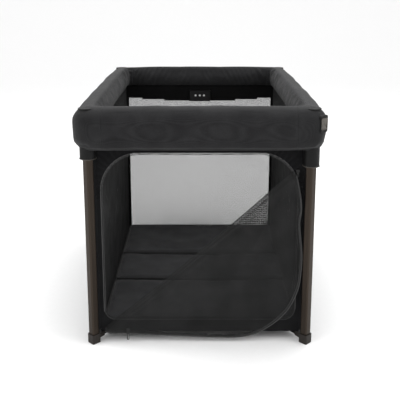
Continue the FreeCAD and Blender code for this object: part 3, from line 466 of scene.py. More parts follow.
# %% [markdown]
# ## The hard parts
# The CAD shapes of tubes, feet, brackets, rails and hub are right as they are, so each keeps its mesh and
# only gets its finish.
# %% Dress the CAD nodes
HARD_FINISHES = {
    "leg_tube": bronze_anodised,
    "foot": foot_nylon,
    "corner_bracket": black_nylon,
    "base_leg": powder_coat,
    "hub": black_nylon,
    "button_housing": black_nylon,
    "button_spring": bright_steel,
    "latch_bolt": bright_steel,
}
dressed = 0
for name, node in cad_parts.items():
    if "_rail_" in name and "cover" not in name:
        finish = powder_coat
    else:
        finish = next((value for key, value in HARD_FINISHES.items() if name.startswith(key)), None)
    if finish:
        node.data.materials.clear()
        node.data.materials.append(finish)
        dressed += 1
print("CAD nodes dressed:", dressed)


# %% [markdown]
# ## Padded covers
# The rail covers are foam wrapped in cloth. They are modelled as one ring: a block with its top inset, its
# middle opened and its underside closed up behind the outer skirt. Cloth simulation with a little pressure
# then rounds it, with more cloth than foam on the inside, which is what puts gathers there. Only after that
# is the ring cut into four corners, which stay on the posts, and four covers, which gather as it folds.
# %% Block out the ring
PAD_WIDTH = 0.074
SKIRT_WIDTH = 0.026
PAD_BOTTOM = 0.679
UNDERSIDE = 0.672
CORNER_ROUND = 0.044
TOP_ROUND = 0.016
SHRINK = 0.004
ring_low = Vector((COVER_LOW.x + SHRINK, COVER_LOW.y + SHRINK, COVER_LOW.z + 0.002))
ring_high = Vector((-ring_low.x, -ring_low.y, COVER_HIGH.z - SHRINK))
ring = add_block("rail_cover_ring", ring_low, ring_high)


def at_height(z):
    return lambda point: abs(point.z - z) < 1e-4


open_face(ring, at_height(ring_high.z), PAD_WIDTH - SHRINK)
open_face(ring, at_height(ring_low.z), SKIRT_WIDTH - SHRINK)


def inside(point):
    return abs(point.x) < -ring_low.x - 0.01


pick(ring, "EDGE", lambda point: inside(point) and at_height(ring_high.z)(point))
bpy.ops.mesh.extrude_region_move(TRANSFORM_OT_translate={"value": (0, 0, PAD_BOTTOM - ring_high.z)})
pick(ring, "EDGE", lambda point: inside(point) and at_height(ring_low.z)(point))
bpy.ops.mesh.extrude_region_move(TRANSFORM_OT_translate={"value": (0, 0, UNDERSIDE - ring_low.z)})
pick(ring, "EDGE", lambda point: at_height(PAD_BOTTOM)(point) or at_height(UNDERSIDE)(point))
bpy.ops.mesh.bridge_edge_loops()
turn_outwards(ring)


pick_running(ring, 2, 0.05, lambda point: abs(point.x) > -ring_low.x - 0.001)
bpy.ops.mesh.bevel(offset=CORNER_ROUND, segments=7, affect="EDGES")
pick(ring, "EDGE", at_height(ring_high.z))
bpy.ops.mesh.bevel(offset=TOP_ROUND, segments=4, affect="EDGES")
leave_edit_mode()
print("ring blocked out:", len(ring.data.vertices), "vertices")

# %% [markdown]
# Cloth with a little pressure takes the block out of the shape. The block is remeshed into an even skin,
# pinned at its lower hems and at the seam of the inner pad, and swells a few millimetres, so its corners
# round and its long faces wave a little. Too much swelling would leave the frame's size, so each point may
# move only so far. A light smoothing takes out the remesh's steps, and one subdivision gives the gathers
# enough points.
# %% Let the padding swell
def soften_by_cloth(thing, voxel, pressure, cap, pinned, shrink=-0.02, quality=4):
    """Remeshes a closed pad, lets it swell as cloth, and keeps every point within the cap."""
    modify(thing, "REMESH", mode="VOXEL", voxel_size=voxel)
    start = [vertex.co.copy() for vertex in thing.data.vertices]
    pins = thing.vertex_groups.new(name="pinned")
    pins.add([i for i, point in enumerate(start) if pinned(point)], 1.0, "REPLACE")
    select_only(thing)
    cloth = thing.modifiers.new("cloth", "CLOTH")
    cloth.settings.quality = quality
    cloth.settings.use_pressure = True
    cloth.settings.uniform_pressure_force = pressure
    cloth.settings.effector_weights.gravity = 0
    cloth.settings.shrink_min = shrink
    cloth.settings.tension_stiffness = 12
    cloth.settings.bending_stiffness = 0.4
    cloth.settings.vertex_group_mass = "pinned"
    for frame_number in range(1, 21):
        bpy.context.scene.frame_set(frame_number)
    bpy.ops.object.modifier_apply(modifier="cloth")
    bpy.context.scene.frame_set(1)
    farthest = 0
    for vertex, before in zip(thing.data.vertices, start):
        step = vertex.co - before
        if step.length > cap:
            vertex.co = before + step * (cap / step.length)
        farthest = max(farthest, (vertex.co - before).length)
    thing.vertex_groups.clear()
    print(f"{thing.name}: {len(start)} points, moved up to {farthest * 1000:.1f} mm")
    return thing


def ring_pins(point):
    return point.z < COVER_LOW.z + 0.012 or (inside_pad(point) and point.z < PAD_BOTTOM + 0.006)


def inside_pad(point):
    return abs(point.x) < -ring_low.x - 0.05 and abs(point.y) < -ring_low.y - 0.05


soften_by_cloth(ring, 0.008, 4.5, 0.006, ring_pins)
modify(ring, "LAPLACIANSMOOTH", iterations=6, lambda_factor=0.5)
modify(ring, "SUBSURF", levels=1, render_levels=1)
print("ring skin:", len(ring.data.vertices), "points")

# %% [markdown]
# Gathers are made from a formula. Cloth is eased round each inner corner, so folds fan out over the side
# pads and die away. The outer skirt's hem waves gently, and the top sags between its stitches.
# %% Gather the cloth of the ring
INNER_X = -COVER_LOW.x - PAD_WIDTH
INNER_Y = -COVER_LOW.y - PAD_WIDTH


def gathers(point):
    sign_x = 1 if point.x > 0 else -1
    sign_y = 1 if point.y > 0 else -1
    x, y, z = abs(point.x), abs(point.y), point.z
    move = Vector((0, 0, 0))
    wander = noise.noise(point * 9.0)
    fine = noise.noise(point * 34.0)
    # Fine upright folds on the inner faces, deepest near a corner.
    near_corner = math.exp(-math.hypot(INNER_X - x, INNER_Y - y) / 0.16)
    on_side_pad = x < INNER_X + 0.02 and x > INNER_X - 0.03
    on_end_pad = y < INNER_Y + 0.02 and y > INNER_Y - 0.03
    if z > PAD_BOTTOM + 0.004 and z < COVER_HIGH.z - 0.012 and (on_side_pad or on_end_pad):
        run = y if on_side_pad else x
        lean = (z - PAD_BOTTOM) * (0.9 if on_side_pad else 0.5)
        fold = math.sin((run + lean) * 2 * math.pi / 0.021 + 5 * wander)
        depth = (0.0034 * near_corner + 0.0005) * (0.6 + fine)
        inward = Vector((-sign_x, 0, 0)) if on_side_pad else Vector((0, -sign_y, 0))
        move += inward * fold * depth
    # The outside is smoother: long shallow waves, and a hem that rises and falls.
    outside_x = x > -COVER_LOW.x - 0.012
    outside_y = y > -COVER_LOW.y - 0.012
    if outside_x or outside_y:
        run = point.y if outside_x and not outside_y else point.x
        face = Vector((sign_x if outside_x else 0, sign_y if outside_y else 0, 0))
        wave = math.sin(run * 2 * math.pi / 0.19 + 6 * noise.noise(Vector((run * 2, z * 6, 3.1))))
        from_corner = max(-COVER_LOW.x - x, -COVER_LOW.y - y)
        move += face * 0.0011 * wave * ease((from_corner - 0.012) / 0.06)
    hem = 1 - ease((z - COVER_LOW.z) / 0.05)
    droop = 0.5 + 0.5 * noise.noise(Vector((point.x * 3.2, point.y * 3.2, 7.7)))
    move.z += hem * 0.004 * droop
    # The top stays puffed, with a slow roll along it.
    if z > COVER_HIGH.z - 0.02:
        move.z += 0.0016 * noise.noise(Vector((point.x * 7, point.y * 7, 1.3)))
    return point + move


move_points(ring, gathers)
modify(ring, "LAPLACIANSMOOTH", iterations=2, lambda_factor=0.2, lambda_border=0.0)
print("ring after gathers:", len(ring.data.vertices), "points")


# %% [markdown]
# Sewn lines come last, because a remesh would wipe them out. Each is a shallow groove pressed along a line:
# the mitre from each inner corner to the outside, and the hem a centimetre above the skirt's edge.
# %% Press the seams into the ring
def press_line(thing, distance, width, depth):
    """Sinks the skin along its normal wherever the line is nearer than the width."""
    normals = [vertex.normal.copy() for vertex in thing.data.vertices]
    count = 0
    for vertex, normal in zip(thing.data.vertices, normals):
        away = distance(vertex.co)
        if away < width:
            vertex.co -= normal * depth * (1 - ease(away / width))
            count += 1
    thing.data.update()
    return count


def mitre(point):
    x, y = abs(point.x), abs(point.y)
    if point.z < COVER_HIGH.z - 0.03 and not (x < INNER_X + 0.01 and y < INNER_Y + 0.01):
        return 1.0
    return abs((-COVER_LOW.x - x) - (-COVER_LOW.y - y)) / math.sqrt(2)


def hem_line(point):
    return abs(point.z - COVER_LOW.z - 0.016) if point.z < COVER_LOW.z + 0.03 else 1.0


print("mitre points", press_line(ring, mitre, 0.006, 0.0010),
      "hem points", press_line(ring, hem_line, 0.007, 0.0012))
ring.data.materials.append(cover_cloth)
smooth(ring, 60)

# %% [markdown]
# The ring is one sewn shape, but it has to follow a folding frame, so it is copied and each copy is cut
# with bisect, closed at the cut. The corners stay stiff on their posts. A side's cover gathers towards one
# post.
# %% Cut the ring into corners and rail covers
FILL_CUT = {"use_fill": True, "threshold": 1e-5}
GAP = 0.0003


def cut_piece(name, planes):
    """A copy of the ring cut by planes. Each plane is a point on it and the side that is thrown away."""
    piece = copy_as(ring, name)
    select_only(piece)
    bpy.ops.object.mode_set(mode="EDIT")
    for place, away in planes:
        bpy.ops.mesh.select_all(action="SELECT")
        bpy.ops.mesh.bisect(plane_co=place, plane_no=away, clear_outer=True, **FILL_CUT)
    bpy.ops.mesh.select_all(action="SELECT")
    bpy.ops.mesh.normals_make_consistent(inside=False)
    leave_edit_mode()
    smooth(piece, 60)
    return piece


for corner, (sx, sy) in CORNERS.items():
    cover = cut_piece(f"padded_corner_{corner}", [
        ((sx * (END_SPAN + GAP), 0, 0), (-sx, 0, 0)),
        ((0, sy * (SIDE_SPAN + GAP), 0), (0, -sy, 0)),
    ])
    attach(cover, f"post_{corner}")
    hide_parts(f"corner_cover_{corner}")
for side, sy, body in (("front", -1, "post_front_left"), ("back", 1, "post_back_left")):
    cover = cut_piece(f"padded_{side}_rail", [
        ((END_SPAN - GAP, 0, 0), (1, 0, 0)),
        ((GAP - END_SPAN, 0, 0), (-1, 0, 0)),
        ((0, sy * SIDE_SPAN, 0), (0, -sy, 0)),
    ])
    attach(cover, body)
    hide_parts(f"{side}_rail_cover_left", f"{side}_rail_cover_right")
    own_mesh(cover)
for side, sx, body in (("left", -1, "post_front_left"), ("right", 1, "post_front_right")):
    cover = cut_piece(f"padded_{side}_rail", [
        ((0, SIDE_SPAN - GAP, 0), (0, 1, 0)),
        ((0, GAP - SIDE_SPAN, 0), (0, -1, 0)),
        ((sx * END_SPAN, 0, 0), (-sx, 0, 0)),
    ])
    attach(cover, body)
    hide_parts(f"{side}_rail_cover_front", f"{side}_rail_cover_back")
    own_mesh(cover)
bpy.data.objects.remove(ring)


# %% [markdown]
# ## Walls
# Each wall is one cloth: see-through mesh, with a band of solid cloth along the top, under the padding, and
# a sewn edge down each side. The mesh is a double knit, an inner and an outer face just over a millimetre
# apart, so it is open when seen square on and closes up when seen along. The side walls are knitted more
# densely, and look nearly black from the door. Each face is a grid in the wall's plane, rippled by a
# formula and given a thickness. The solid parts are the same sheet with another material.
# %% Hang the side and back walls
WALL_THICKNESS = 0.0012
KNIT_THICKNESS = 0.0004
BAND_BOTTOM = 0.629
EDGE_WIDTH = 0.012


def hang_wall(name, node, along_x, columns, mesh_material, offset):
    """One knit face of a wall, rippled, with a solid top band and side edges, offset towards the outside."""
    rows = 108
    low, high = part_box(node)
    middle = (low + high) / 2
    bpy.ops.object.select_all(action="DESELECT")
    bpy.ops.mesh.primitive_grid_add(x_subdivisions=columns, y_subdivisions=rows, size=1)
    wall = name_new(name)
    length = high.x - low.x if along_x else high.y - low.y
    out = (1 if middle.y > 0 else -1) if along_x else (1 if middle.x > 0 else -1)

    def place_point(point):
        run = point.x * length
        z = low.z + (point.y + 0.5) * (high.z - low.z)
        depth = math.sin(math.pi * (point.x + 0.5)) * math.sin(math.pi * (point.y + 0.5)) ** 0.7
        ripple = noise.noise(Vector((run * 3, z * 2.2, 4.0 + out)))
        taut = 1 - ease((z - BAND_BOTTOM + 0.10) / 0.08)
        push = out * offset - out * (0.003 + 0.003 * ripple) * depth * taut
        return Vector((run, middle.y + push, z)) if along_x else Vector((middle.x + push, run, z))

    move_points(wall, place_point)
    wall.data.materials.append(mesh_material)
    wall.data.materials.append(band_cloth)
    for face in wall.data.polygons:
        centre = face.center
        run = abs(centre.x if along_x else centre.y) / (length / 2)
        dip = BAND_BOTTOM - 0.018 * (1 - run ** 2)
        solid = centre.z > dip or length / 2 * (1 - run) < EDGE_WIDTH or centre.z < low.z + EDGE_WIDTH
        face.material_index = 1 if solid else 0
    modify(wall, "SOLIDIFY", thickness=KNIT_THICKNESS, offset=0.0)
    smooth(wall, 60)
    return wall


for face_name, offset in (("inner", -WALL_THICKNESS / 2), ("outer", WALL_THICKNESS / 2)):
    wall = hang_wall(f"mesh_back_wall_{face_name}", "back_wall", True, 54, wall_mesh, offset)
    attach(wall, "post_back_left")
    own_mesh(wall)
    for side in ("left", "right"):
        wall = hang_wall(f"mesh_{side}_wall_{face_name}", f"{side}_wall", False, 78, side_mesh, offset)
        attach(wall, f"post_front_{side}")
        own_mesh(wall)
for node in ("back_wall", "left_wall", "right_wall"):
    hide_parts(node)
print("walls hung; each band begins", BAND_BOTTOM, "m up")

# %% [markdown]
# At each corner the two walls are sewn to a narrow flange, which slides into the leg's channel, so no light
# shows between cloth and leg. It is a thin upright strip on the diagonal, with a welt where it meets the
# leg.
# %% Sew the flanges that hold the walls to the legs
LEG_FACE = 0.0125
FLANGE_TOP = 0.66


def sew_flange(corner, sx, sy):
    reach = math.hypot(POST_X - SIDE_HIGH.x, POST_Y - WALL_HIGH.y)
    strip = add_block(f"leg_flange_{corner}", (LEG_FACE, -0.0011, WALL_LOW.z + 0.004),
                      (reach + 0.004, 0.0011, FLANGE_TOP))
    edit_all(strip)
    bpy.ops.mesh.subdivide(number_cuts=24)
    leave_edit_mode()
    turn = math.atan2(-sy, -sx)

    def settle(point):
        point.y += 0.0012 * noise.noise(Vector((point.z * 9, sx * 3, sy * 5)))
        if point.x < LEG_FACE + 0.004:
            point.y *= 1 + 1.1 * (1 - ease((point.x - LEG_FACE) / 0.004))
        return Matrix.Translation((sx * POST_X, sy * POST_Y, 0)) @ Matrix.Rotation(turn, 4, "Z") @ point

    move_points(strip, settle)
    strip.data.materials.append(wall_cloth)
    smooth(strip, 50)
    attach(strip, f"post_{corner}")


for corner, (sx, sy) in CORNERS.items():
    sew_flange(corner, sx, sy)
print("flanges sewn up to", FLANGE_TOP)

# %% [markdown]
# ## The door end
# The front wall is a frame of solid cloth round a door opening with big rounded upper corners. A circle is
# extruded outwards into a dozen rings, and a rule then maps the inner ring to the outline of the opening
# and the outer one to the wall's edge. Round the upper corners the cloth is pulled tight, so pleats fan out
# from the arc.
# %% Shape the front wall round its opening
DOOR_LOW_EDGE, DOOR_TOP_EDGE = DOOR_LOW.z - 0.001, 0.610
DOOR_HALF = DOOR_HIGH.x + 0.001
UPPER_RADIUS, LOWER_RADIUS = 0.118, 0.035
FRONT_Y = -WALL_Y
DOOR_MIDDLE = Vector((0, (DOOR_LOW_EDGE + DOOR_TOP_EDGE) / 2))
DOOR_SIZE = Vector((DOOR_HALF, (DOOR_TOP_EDGE - DOOR_LOW_EDGE) / 2))
WALL_MIDDLE = Vector((0, (WALL_LOW.z + WALL_HIGH.z) / 2))
WALL_SIZE = Vector((WALL_HIGH.x, (WALL_HIGH.z - WALL_LOW.z) / 2))


def rounded_edge(direction, middle, half, upper, lower):
    """Where a ray from the door's middle meets a rectangle with rounded corners, found by halving."""
    near, far = 0.0, 0.6
    for _ in range(28):
        distance = (near + far) / 2
        point = DOOR_MIDDLE + direction * distance - middle
        radius = upper if point.y > 0 else lower
        corner = Vector((abs(point.x) - half.x + radius, abs(point.y) - half.y + radius))
        beyond = Vector((max(corner.x, 0), max(corner.y, 0))).length
        outside = beyond + min(max(corner.x, corner.y), 0) - radius
        if outside > 0:
            far = distance
        else:
            near = distance
    return DOOR_MIDDLE + direction * near


def opening_edge(angle, inset=0.0):
    direction = Vector((math.cos(angle), math.sin(angle)))
    shrink = Vector((inset, inset))
    return rounded_edge(direction, DOOR_MIDDLE, DOOR_SIZE - shrink, UPPER_RADIUS - inset, LOWER_RADIUS)


def pleats(x, z):
    """How far the cloth stands out of the wall's plane near the opening's upper corners."""
    across, up = abs(x) - (DOOR_HALF - UPPER_RADIUS), z - (DOOR_TOP_EDGE - UPPER_RADIUS)
    if across < 0 or up < -0.06:
        return 0.0
    reach = math.hypot(across, up) - UPPER_RADIUS
    turn = math.atan2(up, across)
    fold = math.sin(46 * turn + 4 * noise.noise(Vector((x * 12, z * 12, 2.2))))
    return 0.0026 * math.exp(-max(reach, 0) / 0.045) * fold * ease((up + 0.06) / 0.06)


RINGS = 12
bpy.ops.object.select_all(action="DESELECT")
bpy.ops.mesh.primitive_circle_add(vertices=720, radius=0.5)
outer_ring = name_new("front_wall_cloth")
edit_all(outer_ring)
for ring_number in range(RINGS):
    growth = (RINGS + ring_number + 1) / (RINGS + ring_number)
    bpy.ops.mesh.extrude_region_move()
    bpy.ops.transform.resize(value=(growth, growth, 1))
leave_edit_mode()


def front_point(point):
    share = (math.hypot(point.x, point.y) - 0.5) / 0.5
    angle = math.atan2(point.y, point.x)
    direction = Vector((math.cos(angle), math.sin(angle)))
    edge = opening_edge(angle)
    rim = rounded_edge(direction, WALL_MIDDLE, WALL_SIZE, 0.004, 0.004)
    flat = edge.lerp(rim, share)
    wave = 0.0012 * noise.noise(Vector((flat.x * 8, flat.y * 8, 5.0)))
    return Vector((flat.x, FRONT_Y - pleats(flat.x, flat.y) + wave, flat.y))


move_points(outer_ring, front_point)
outer_ring.data.materials.append(wall_cloth)
print("front wall frame:", len(outer_ring.data.polygons), "faces")

# %% [markdown]
# A real front wall is cut as four strips: a header with both corner webs, two narrow side strips and a
# sill. The frame is cut along those seams with bisect, and each strip gets its thickness.
# %% Cut the front wall into its four strips
SEAM_HIGH, SEAM_LOW = 0.470, DOOR_LOW_EDGE + LOWER_RADIUS


def gather_with_front(piece):
    """A piece of the door end, which rides on the front left post and gathers towards it."""
    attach(piece, "post_front_left")
    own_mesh(piece)
    return piece


BETWEEN_SEAMS = [((0, 0, SEAM_HIGH), (0, 0, 1)), ((0, 0, SEAM_LOW), (0, 0, -1))]
STRIPS = {
    "front_header": [((0, 0, SEAM_HIGH), (0, 0, -1))],
    "front_left_strip": BETWEEN_SEAMS + [((0, 0, 0), (1, 0, 0))],
    "front_right_strip": BETWEEN_SEAMS + [((0, 0, 0), (-1, 0, 0))],
    "front_sill": [((0, 0, SEAM_LOW), (0, 0, 1))],
}
for name, planes in STRIPS.items():
    strip = copy_as(outer_ring, name)
    select_only(strip)
    bpy.ops.object.mode_set(mode="EDIT")
    for place, away in planes:
        bpy.ops.mesh.select_all(action="SELECT")
        bpy.ops.mesh.bisect(plane_co=place, plane_no=away, clear_outer=True)
    leave_edit_mode()
    modify(strip, "SOLIDIFY", thickness=WALL_THICKNESS, offset=0.0)
    smooth(strip, 60)
    gather_with_front(strip)
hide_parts("front_wall")
bpy.data.objects.remove(outer_ring)


# %% [markdown]
# Edges are bound with a thin rounded tape, and cushions with piping. Both are a curve with a round bevel,
# made a mesh once it is in place. The path is a few points with a smooth curve through them, stepped
# evenly.
# %% A helper for piping and one for even steps along a path
def smooth_path(points, step):
    """Points a fixed distance apart on a smooth curve through the given ones."""
    points = [Vector(p) for p in points]
    ends = [points[0] * 2 - points[1]] + points + [points[-1] * 2 - points[-2]]
    dense = []
    for a, b, c, d in zip(ends, ends[1:], ends[2:], ends[3:]):
        for i in range(24):
            t = i / 24
            dense.append(0.5 * (2 * b + (c - a) * t + (2 * a - 5 * b + 4 * c - d) * t * t
                                + (3 * b - a - 3 * c + d) * t ** 3))
    dense.append(points[-1])
    return even_steps(dense, step)


def even_steps(points, step):
    lengths = [0.0]
    for a, b in zip(points, points[1:]):
        lengths.append(lengths[-1] + (b - a).length)
    count = max(2, round(lengths[-1] / step))
    made = []
    index = 0
    for i in range(count + 1):
        want = lengths[-1] * i / count
        while index < len(points) - 2 and lengths[index + 1] < want:
            index += 1
        part = (want - lengths[index]) / max(lengths[index + 1] - lengths[index], 1e-9)
        made.append(points[index].lerp(points[index + 1], part))
    return made


def add_piping(name, points, radius, material, closed=False):
    bpy.ops.object.select_all(action="DESELECT")
    bpy.ops.curve.primitive_nurbs_path_add(radius=1)
    piping = name_new(name)
    curve = piping.data
    curve.splines.clear()
    spline = curve.splines.new("POLY")
    spline.points.add(len(points) - 1)
    for control, point in zip(spline.points, points):
        control.co = (*point, 1)
    spline.use_cyclic_u = closed
    curve.bevel_depth = radius
    curve.bevel_resolution = 2
    curve.use_fill_caps = not closed
    select_only(piping)
    bpy.ops.object.convert(target="MESH")
    piping = bpy.context.object
    piping.data.materials.append(material)
    return smooth(piping, 60)


def link_tooth():
    """One zip tooth: a block whose head is wider than its root, lying along +X across the tape."""
    tooth = add_block("zip_tooth", (-0.0017, -0.0010, -0.0011), (0.0017, 0.0010, 0.0011))
    pick(tooth, "FACE", lambda point: point.x > 0.001)
    bpy.ops.transform.resize(value=(1, 1, 1.35))
    bevel_all(tooth, 0.0003, 1)
    return tooth


def add_teeth(name, points, across):
    """Copies of the tooth at the points, each turned along the path, as one mesh."""
    tooth = link_tooth()
    vertices, faces = [], []
    for i, point in enumerate(points):
        ahead = points[min(i + 1, len(points) - 1)] - points[max(i - 1, 0)]
        along_path = ahead.normalized()
        head = along_path.cross(across).normalized()
        turned = Matrix((head, across, along_path)).transposed()
        base = len(vertices)
        vertices += [point + turned @ vertex.co for vertex in tooth.data.vertices]
        faces += [[base + index for index in face.vertices] for face in tooth.data.polygons]
    bpy.data.objects.remove(tooth)
    mesh = bpy.data.meshes.new(name)
    mesh.from_pydata(vertices, [], faces)
    row = bpy.data.objects.new(name, mesh)
    bpy.context.scene.collection.objects.link(row)
    turn_outwards(row)
    row.data.materials.append(zip_coil_painted_glint)
    return row


print("helpers for edges ready")

# %% [markdown]
# The opening is bound with a light grey tape, which catches the light round both upper corners. Half of the
# zip runs beside it; its teeth are drawn grey, lighter than their black, so their colour paints their glints.
# A real tooth is about 2 mm along the tape; here one stands every 4 mm, so each shows.
# %% Bind the opening and sew in its half of the zip
TOOTH_PITCH = 0.004


def opening_path(first, last, inset, y, count=260):
    edge = [opening_edge(math.radians(first + (last - first) * i / count), inset) for i in range(count + 1)]
    return [Vector((p.x, y - pleats(p.x, p.y), p.y)) for p in edge]


binding = add_piping("opening_binding", even_steps(opening_path(-38, 219, -0.001, FRONT_Y - 0.001), 0.005),
                     0.0013, grey_thread)
gather_with_front(binding)
frame_teeth = add_teeth("opening_zip_teeth",
                        even_steps(opening_path(36, 219, 0.0035, FRONT_Y - 0.0005), TOOTH_PITCH),
                        Vector((0, 1, 0)))
gather_with_front(frame_teeth)
print("zip teeth on the opening:", len(frame_teeth.data.vertices) // 24)

# %% [markdown]
# The door is one mesh sheet. Its lower right half is still zipped in, under a slanting fold line. The rest
# has been unzipped and folded over that line, and hangs in front. Both are a grid stretched between the
# fold line and an edge: the opening's edge for one, and the free zip edge for the other.
# %% Lay out the fold line and the two edges
FOLD_START = Vector((-DOOR_HALF, 0, 0.042))
FOLD_END = Vector((0.283, 0, 0.556))


def fold_point(share, sag=0.006):
    """A point on the fold line, from its lower end to its upper end. The cloth's weight bows it a little."""
    point = FOLD_START.lerp(FOLD_END, share)
    dip = sag * math.sin(math.pi * share)
    return point + Vector((dip * 0.66, 0, -dip * 0.75))


FREE_EDGE = [
    (-0.297, 0, 0.034), (-0.232, 0, 0.032), (-0.157, 0, 0.027), (-0.063, 0, 0.023),
    (0.016, 0, 0.019), (0.119, 0, 0.018), (0.171, 0, 0.029), (0.210, 0, 0.049),
    (0.249, 0, 0.080), (0.283, 0, 0.123), (0.306, 0, 0.182), (0.313, 0, 0.239),
    (0.314, 0, 0.295), (0.307, 0, 0.358), (0.304, 0, 0.400), (0.308, 0, 0.437),
    (0.302, 0, 0.490), (0.291, 0, 0.543),
]
free_edge = smooth_path(FREE_EDGE, 0.002)


def on_path(path, share):
    place = min(max(share, 0.0), 1.0) * (len(path) - 1)
    index = min(int(place), len(path) - 2)
    return path[index].lerp(path[index + 1], place - index)


print(f"free zip edge {sum((b - a).length for a, b in zip(free_edge, free_edge[1:])):.3f} m long")


# %% [markdown]
# Creases are a formula too: long soft folds that start where the upper slider holds the cloth and fan out
# down the sheet, and a crumple in the low left corner where the cloth bunches.
# %% Stretch the folded flap
def fan_creases(x, z):
    reach = Vector((x - FOLD_END.x, z - FOLD_END.z))
    turn = math.atan2(reach.y, reach.x)
    distance = reach.length
    strength = ease(distance / 0.12) * (1 - 0.55 * ease((distance - 0.2) / 0.45))
    fold = math.sin(9 * turn + 1.2 * noise.noise(Vector((x * 4, z * 4, 9.0))))
    sharp = 1 - abs(math.sin(4.5 * (turn + 2.02)))
    return strength * (0.0022 * fold + 0.0035 * sharp ** 6)


def flap_point(share_along, share_out):
    start = fold_point(share_along)
    end = on_path(free_edge, share_along ** 0.85)
    flat = start.lerp(end, share_out)
    away = (flat - start).length
    # The cloth rolls over the fold: it leaves the wall's plane, swells a little past the hanging plane, and
    # settles back to it.
    stand = FLAP_Y - FRONT_Y
    roll = 1 - math.exp(-away / 0.010)
    bulge = 0.0035 * math.exp(-((away - 0.022) / 0.014) ** 2)
    crumple = (1 - ease((flat - FOLD_START).length / 0.11)) * 0.006
    y = FRONT_Y - 0.0015 + stand * roll - bulge
    y -= fan_creases(flat.x, flat.z) * roll
    y -= crumple * (0.5 + noise.noise(Vector((flat.x * 60, flat.z * 60, 0.4)))) * roll
    y -= 0.002 * noise.noise(Vector((flat.x * 9, flat.z * 9, 6.0))) * roll
    return Vector((flat.x, y, flat.z))


def border_with_tape(sheet, edge):
    """Gives the faces beside an edge the second material, the binding tape."""
    for face in sheet.data.polygons:
        gap = min((Vector((p.x - face.center.x, p.z - face.center.z)).length for p in edge[::3]))
        face.material_index = 1 if gap < TAPE_WIDTH else 0


def stretch_grid(name, rule, columns, rows):
    bpy.ops.object.select_all(action="DESELECT")
    bpy.ops.mesh.primitive_grid_add(x_subdivisions=columns, y_subdivisions=rows, size=1)
    sheet = name_new(name)
    return move_points(sheet, lambda point: rule(point.x + 0.5, point.y + 0.5))


TAPE_WIDTH = 0.009
FOLD_SHADOW_DEPTH = 0.0022
flap = stretch_grid("door_flap_mesh", flap_point, 150, 90)
flap.data.materials.append(door_mesh)
flap.data.materials.append(tape_cloth)
border_with_tape(flap, free_edge)
# Seen edge-on, the doubled mesh at the fold is dense, so the faces along it take the tape's opaque black
# finish, which also paints the thin shadow line along the fold.
for face in flap.data.polygons:
    if face.center.y > FRONT_Y - FOLD_SHADOW_DEPTH:
        face.material_index = 1
modify(flap, "SOLIDIFY", thickness=WALL_THICKNESS, offset=0.0)
smooth(flap, 70)
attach(flap, "door_flap")
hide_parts("door_flap")
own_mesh(flap)


def flap_edge_path(inset):
    """The free edge on the flap's own surface, a little inside it."""
    count = 420
    return [flap_point(i / count, 1 - inset / 0.3) for i in range(count + 1)]


flap_binding = add_piping("flap_binding", even_steps(flap_edge_path(0.0), 0.005), 0.0019, binding_cloth)
flap_teeth = add_teeth("flap_zip_teeth",
                       [p + Vector((0, -0.0014, 0)) for p in even_steps(flap_edge_path(0.006), TOOTH_PITCH)],
                       Vector((0, 1, 0)))
for piece in (flap_binding, flap_teeth):
    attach(piece, "door_flap")
    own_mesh(piece)

# %% [markdown]
# The zipped-in half lies flat in the opening, pulled tight between the fold line and the zip.
# %% Stretch the door panel
zipped_edge = even_steps([Vector((p.x, 0, p.y)) for p in (
    opening_edge(math.radians(-140.5 + (181.5) * i / 300), 0.001) for i in range(301))], 0.002)


def panel_point(share_along, share_out):
    start = fold_point(0.052 + 0.944 * share_along)
    end = on_path(zipped_edge, share_along)
    flat = start.lerp(end, share_out)
    slack = math.sin(math.pi * share_out) * 0.003 * noise.noise(Vector((flat.x * 6, flat.z * 6, 8.0)))
    return Vector((flat.x, FRONT_Y - 0.0002 + slack, flat.z))


panel = stretch_grid("door_panel_mesh", panel_point, 130, 60)
panel.data.materials.append(door_mesh)
panel.data.materials.append(tape_cloth)
border_with_tape(panel, zipped_edge)
modify(panel, "SOLIDIFY", thickness=WALL_THICKNESS, offset=0.0)
smooth(panel, 60)
gather_with_front(panel)
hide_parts("door_panel")
chain = add_teeth("closed_zip_teeth",
                  even_steps([Vector((p.x, FRONT_Y - 0.0016, p.z)) for p in zipped_edge], TOOTH_PITCH),
                  Vector((0, 1, 0)))
gather_with_front(chain)


# %% [markdown]
# ### Zip sliders
# A slider is a small lacquered casting: a bevelled shield with a bridge over it, and a pull tab with a long
# hole. One is modelled at the origin and copied to both places, the lower one with its long tab.
# %% Cast the sliders
TAB_BORDER = 0.0018


def cast_slider(name, node, tab_length):
    low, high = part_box(node)
    middle_x, back = (low.x + high.x) / 2, high.y
    top = high.z
    shield = add_block(name, (-0.0062, 0, -0.018), (0.0062, 0.0030, 0))
    pick(shield, "FACE", lambda point: point.z < -0.017)
    bpy.ops.transform.resize(value=(0.62, 1, 1))
    bevel_all(shield, 0.0012, 3)
    bridge = add_block("bridge", (-0.0017, -0.0030, -0.0145), (0.0017, 0.0006, -0.0035))
    pick(bridge, "FACE", lambda point: point.y < -0.0029)
    bpy.ops.mesh.inset(thickness=0.0007)
    bevel_all(bridge, 0.0005, 2)
    tab = add_block("tab", (-0.0034, -0.0036, -0.010 - tab_length), (0.0034, -0.0018, -0.008))
    open_face(tab, lambda point: point.y < -0.0035, TAB_BORDER)
    open_face(tab, lambda point: point.y > -0.0019, TAB_BORDER)
    pick(tab, "EDGE", lambda point: abs(point.x) < 0.0020 and point.z > -0.0085 - tab_length + 0.0001)
    bpy.ops.mesh.bridge_edge_loops()
    turn_outwards(tab)
    bevel_all(tab, 0.0004, 2)
    select_only(shield, bridge, tab)
    bpy.ops.object.join()
    slider = bpy.context.object
    move_points(slider, lambda point: point + Vector((middle_x, back - 0.0030, top)))
    slider.data.materials.append(zip_lacquer)
    smooth(slider, 40)
    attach(slider, node)
    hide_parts(node)
    print(name, "top at", round(top, 3))
    return slider


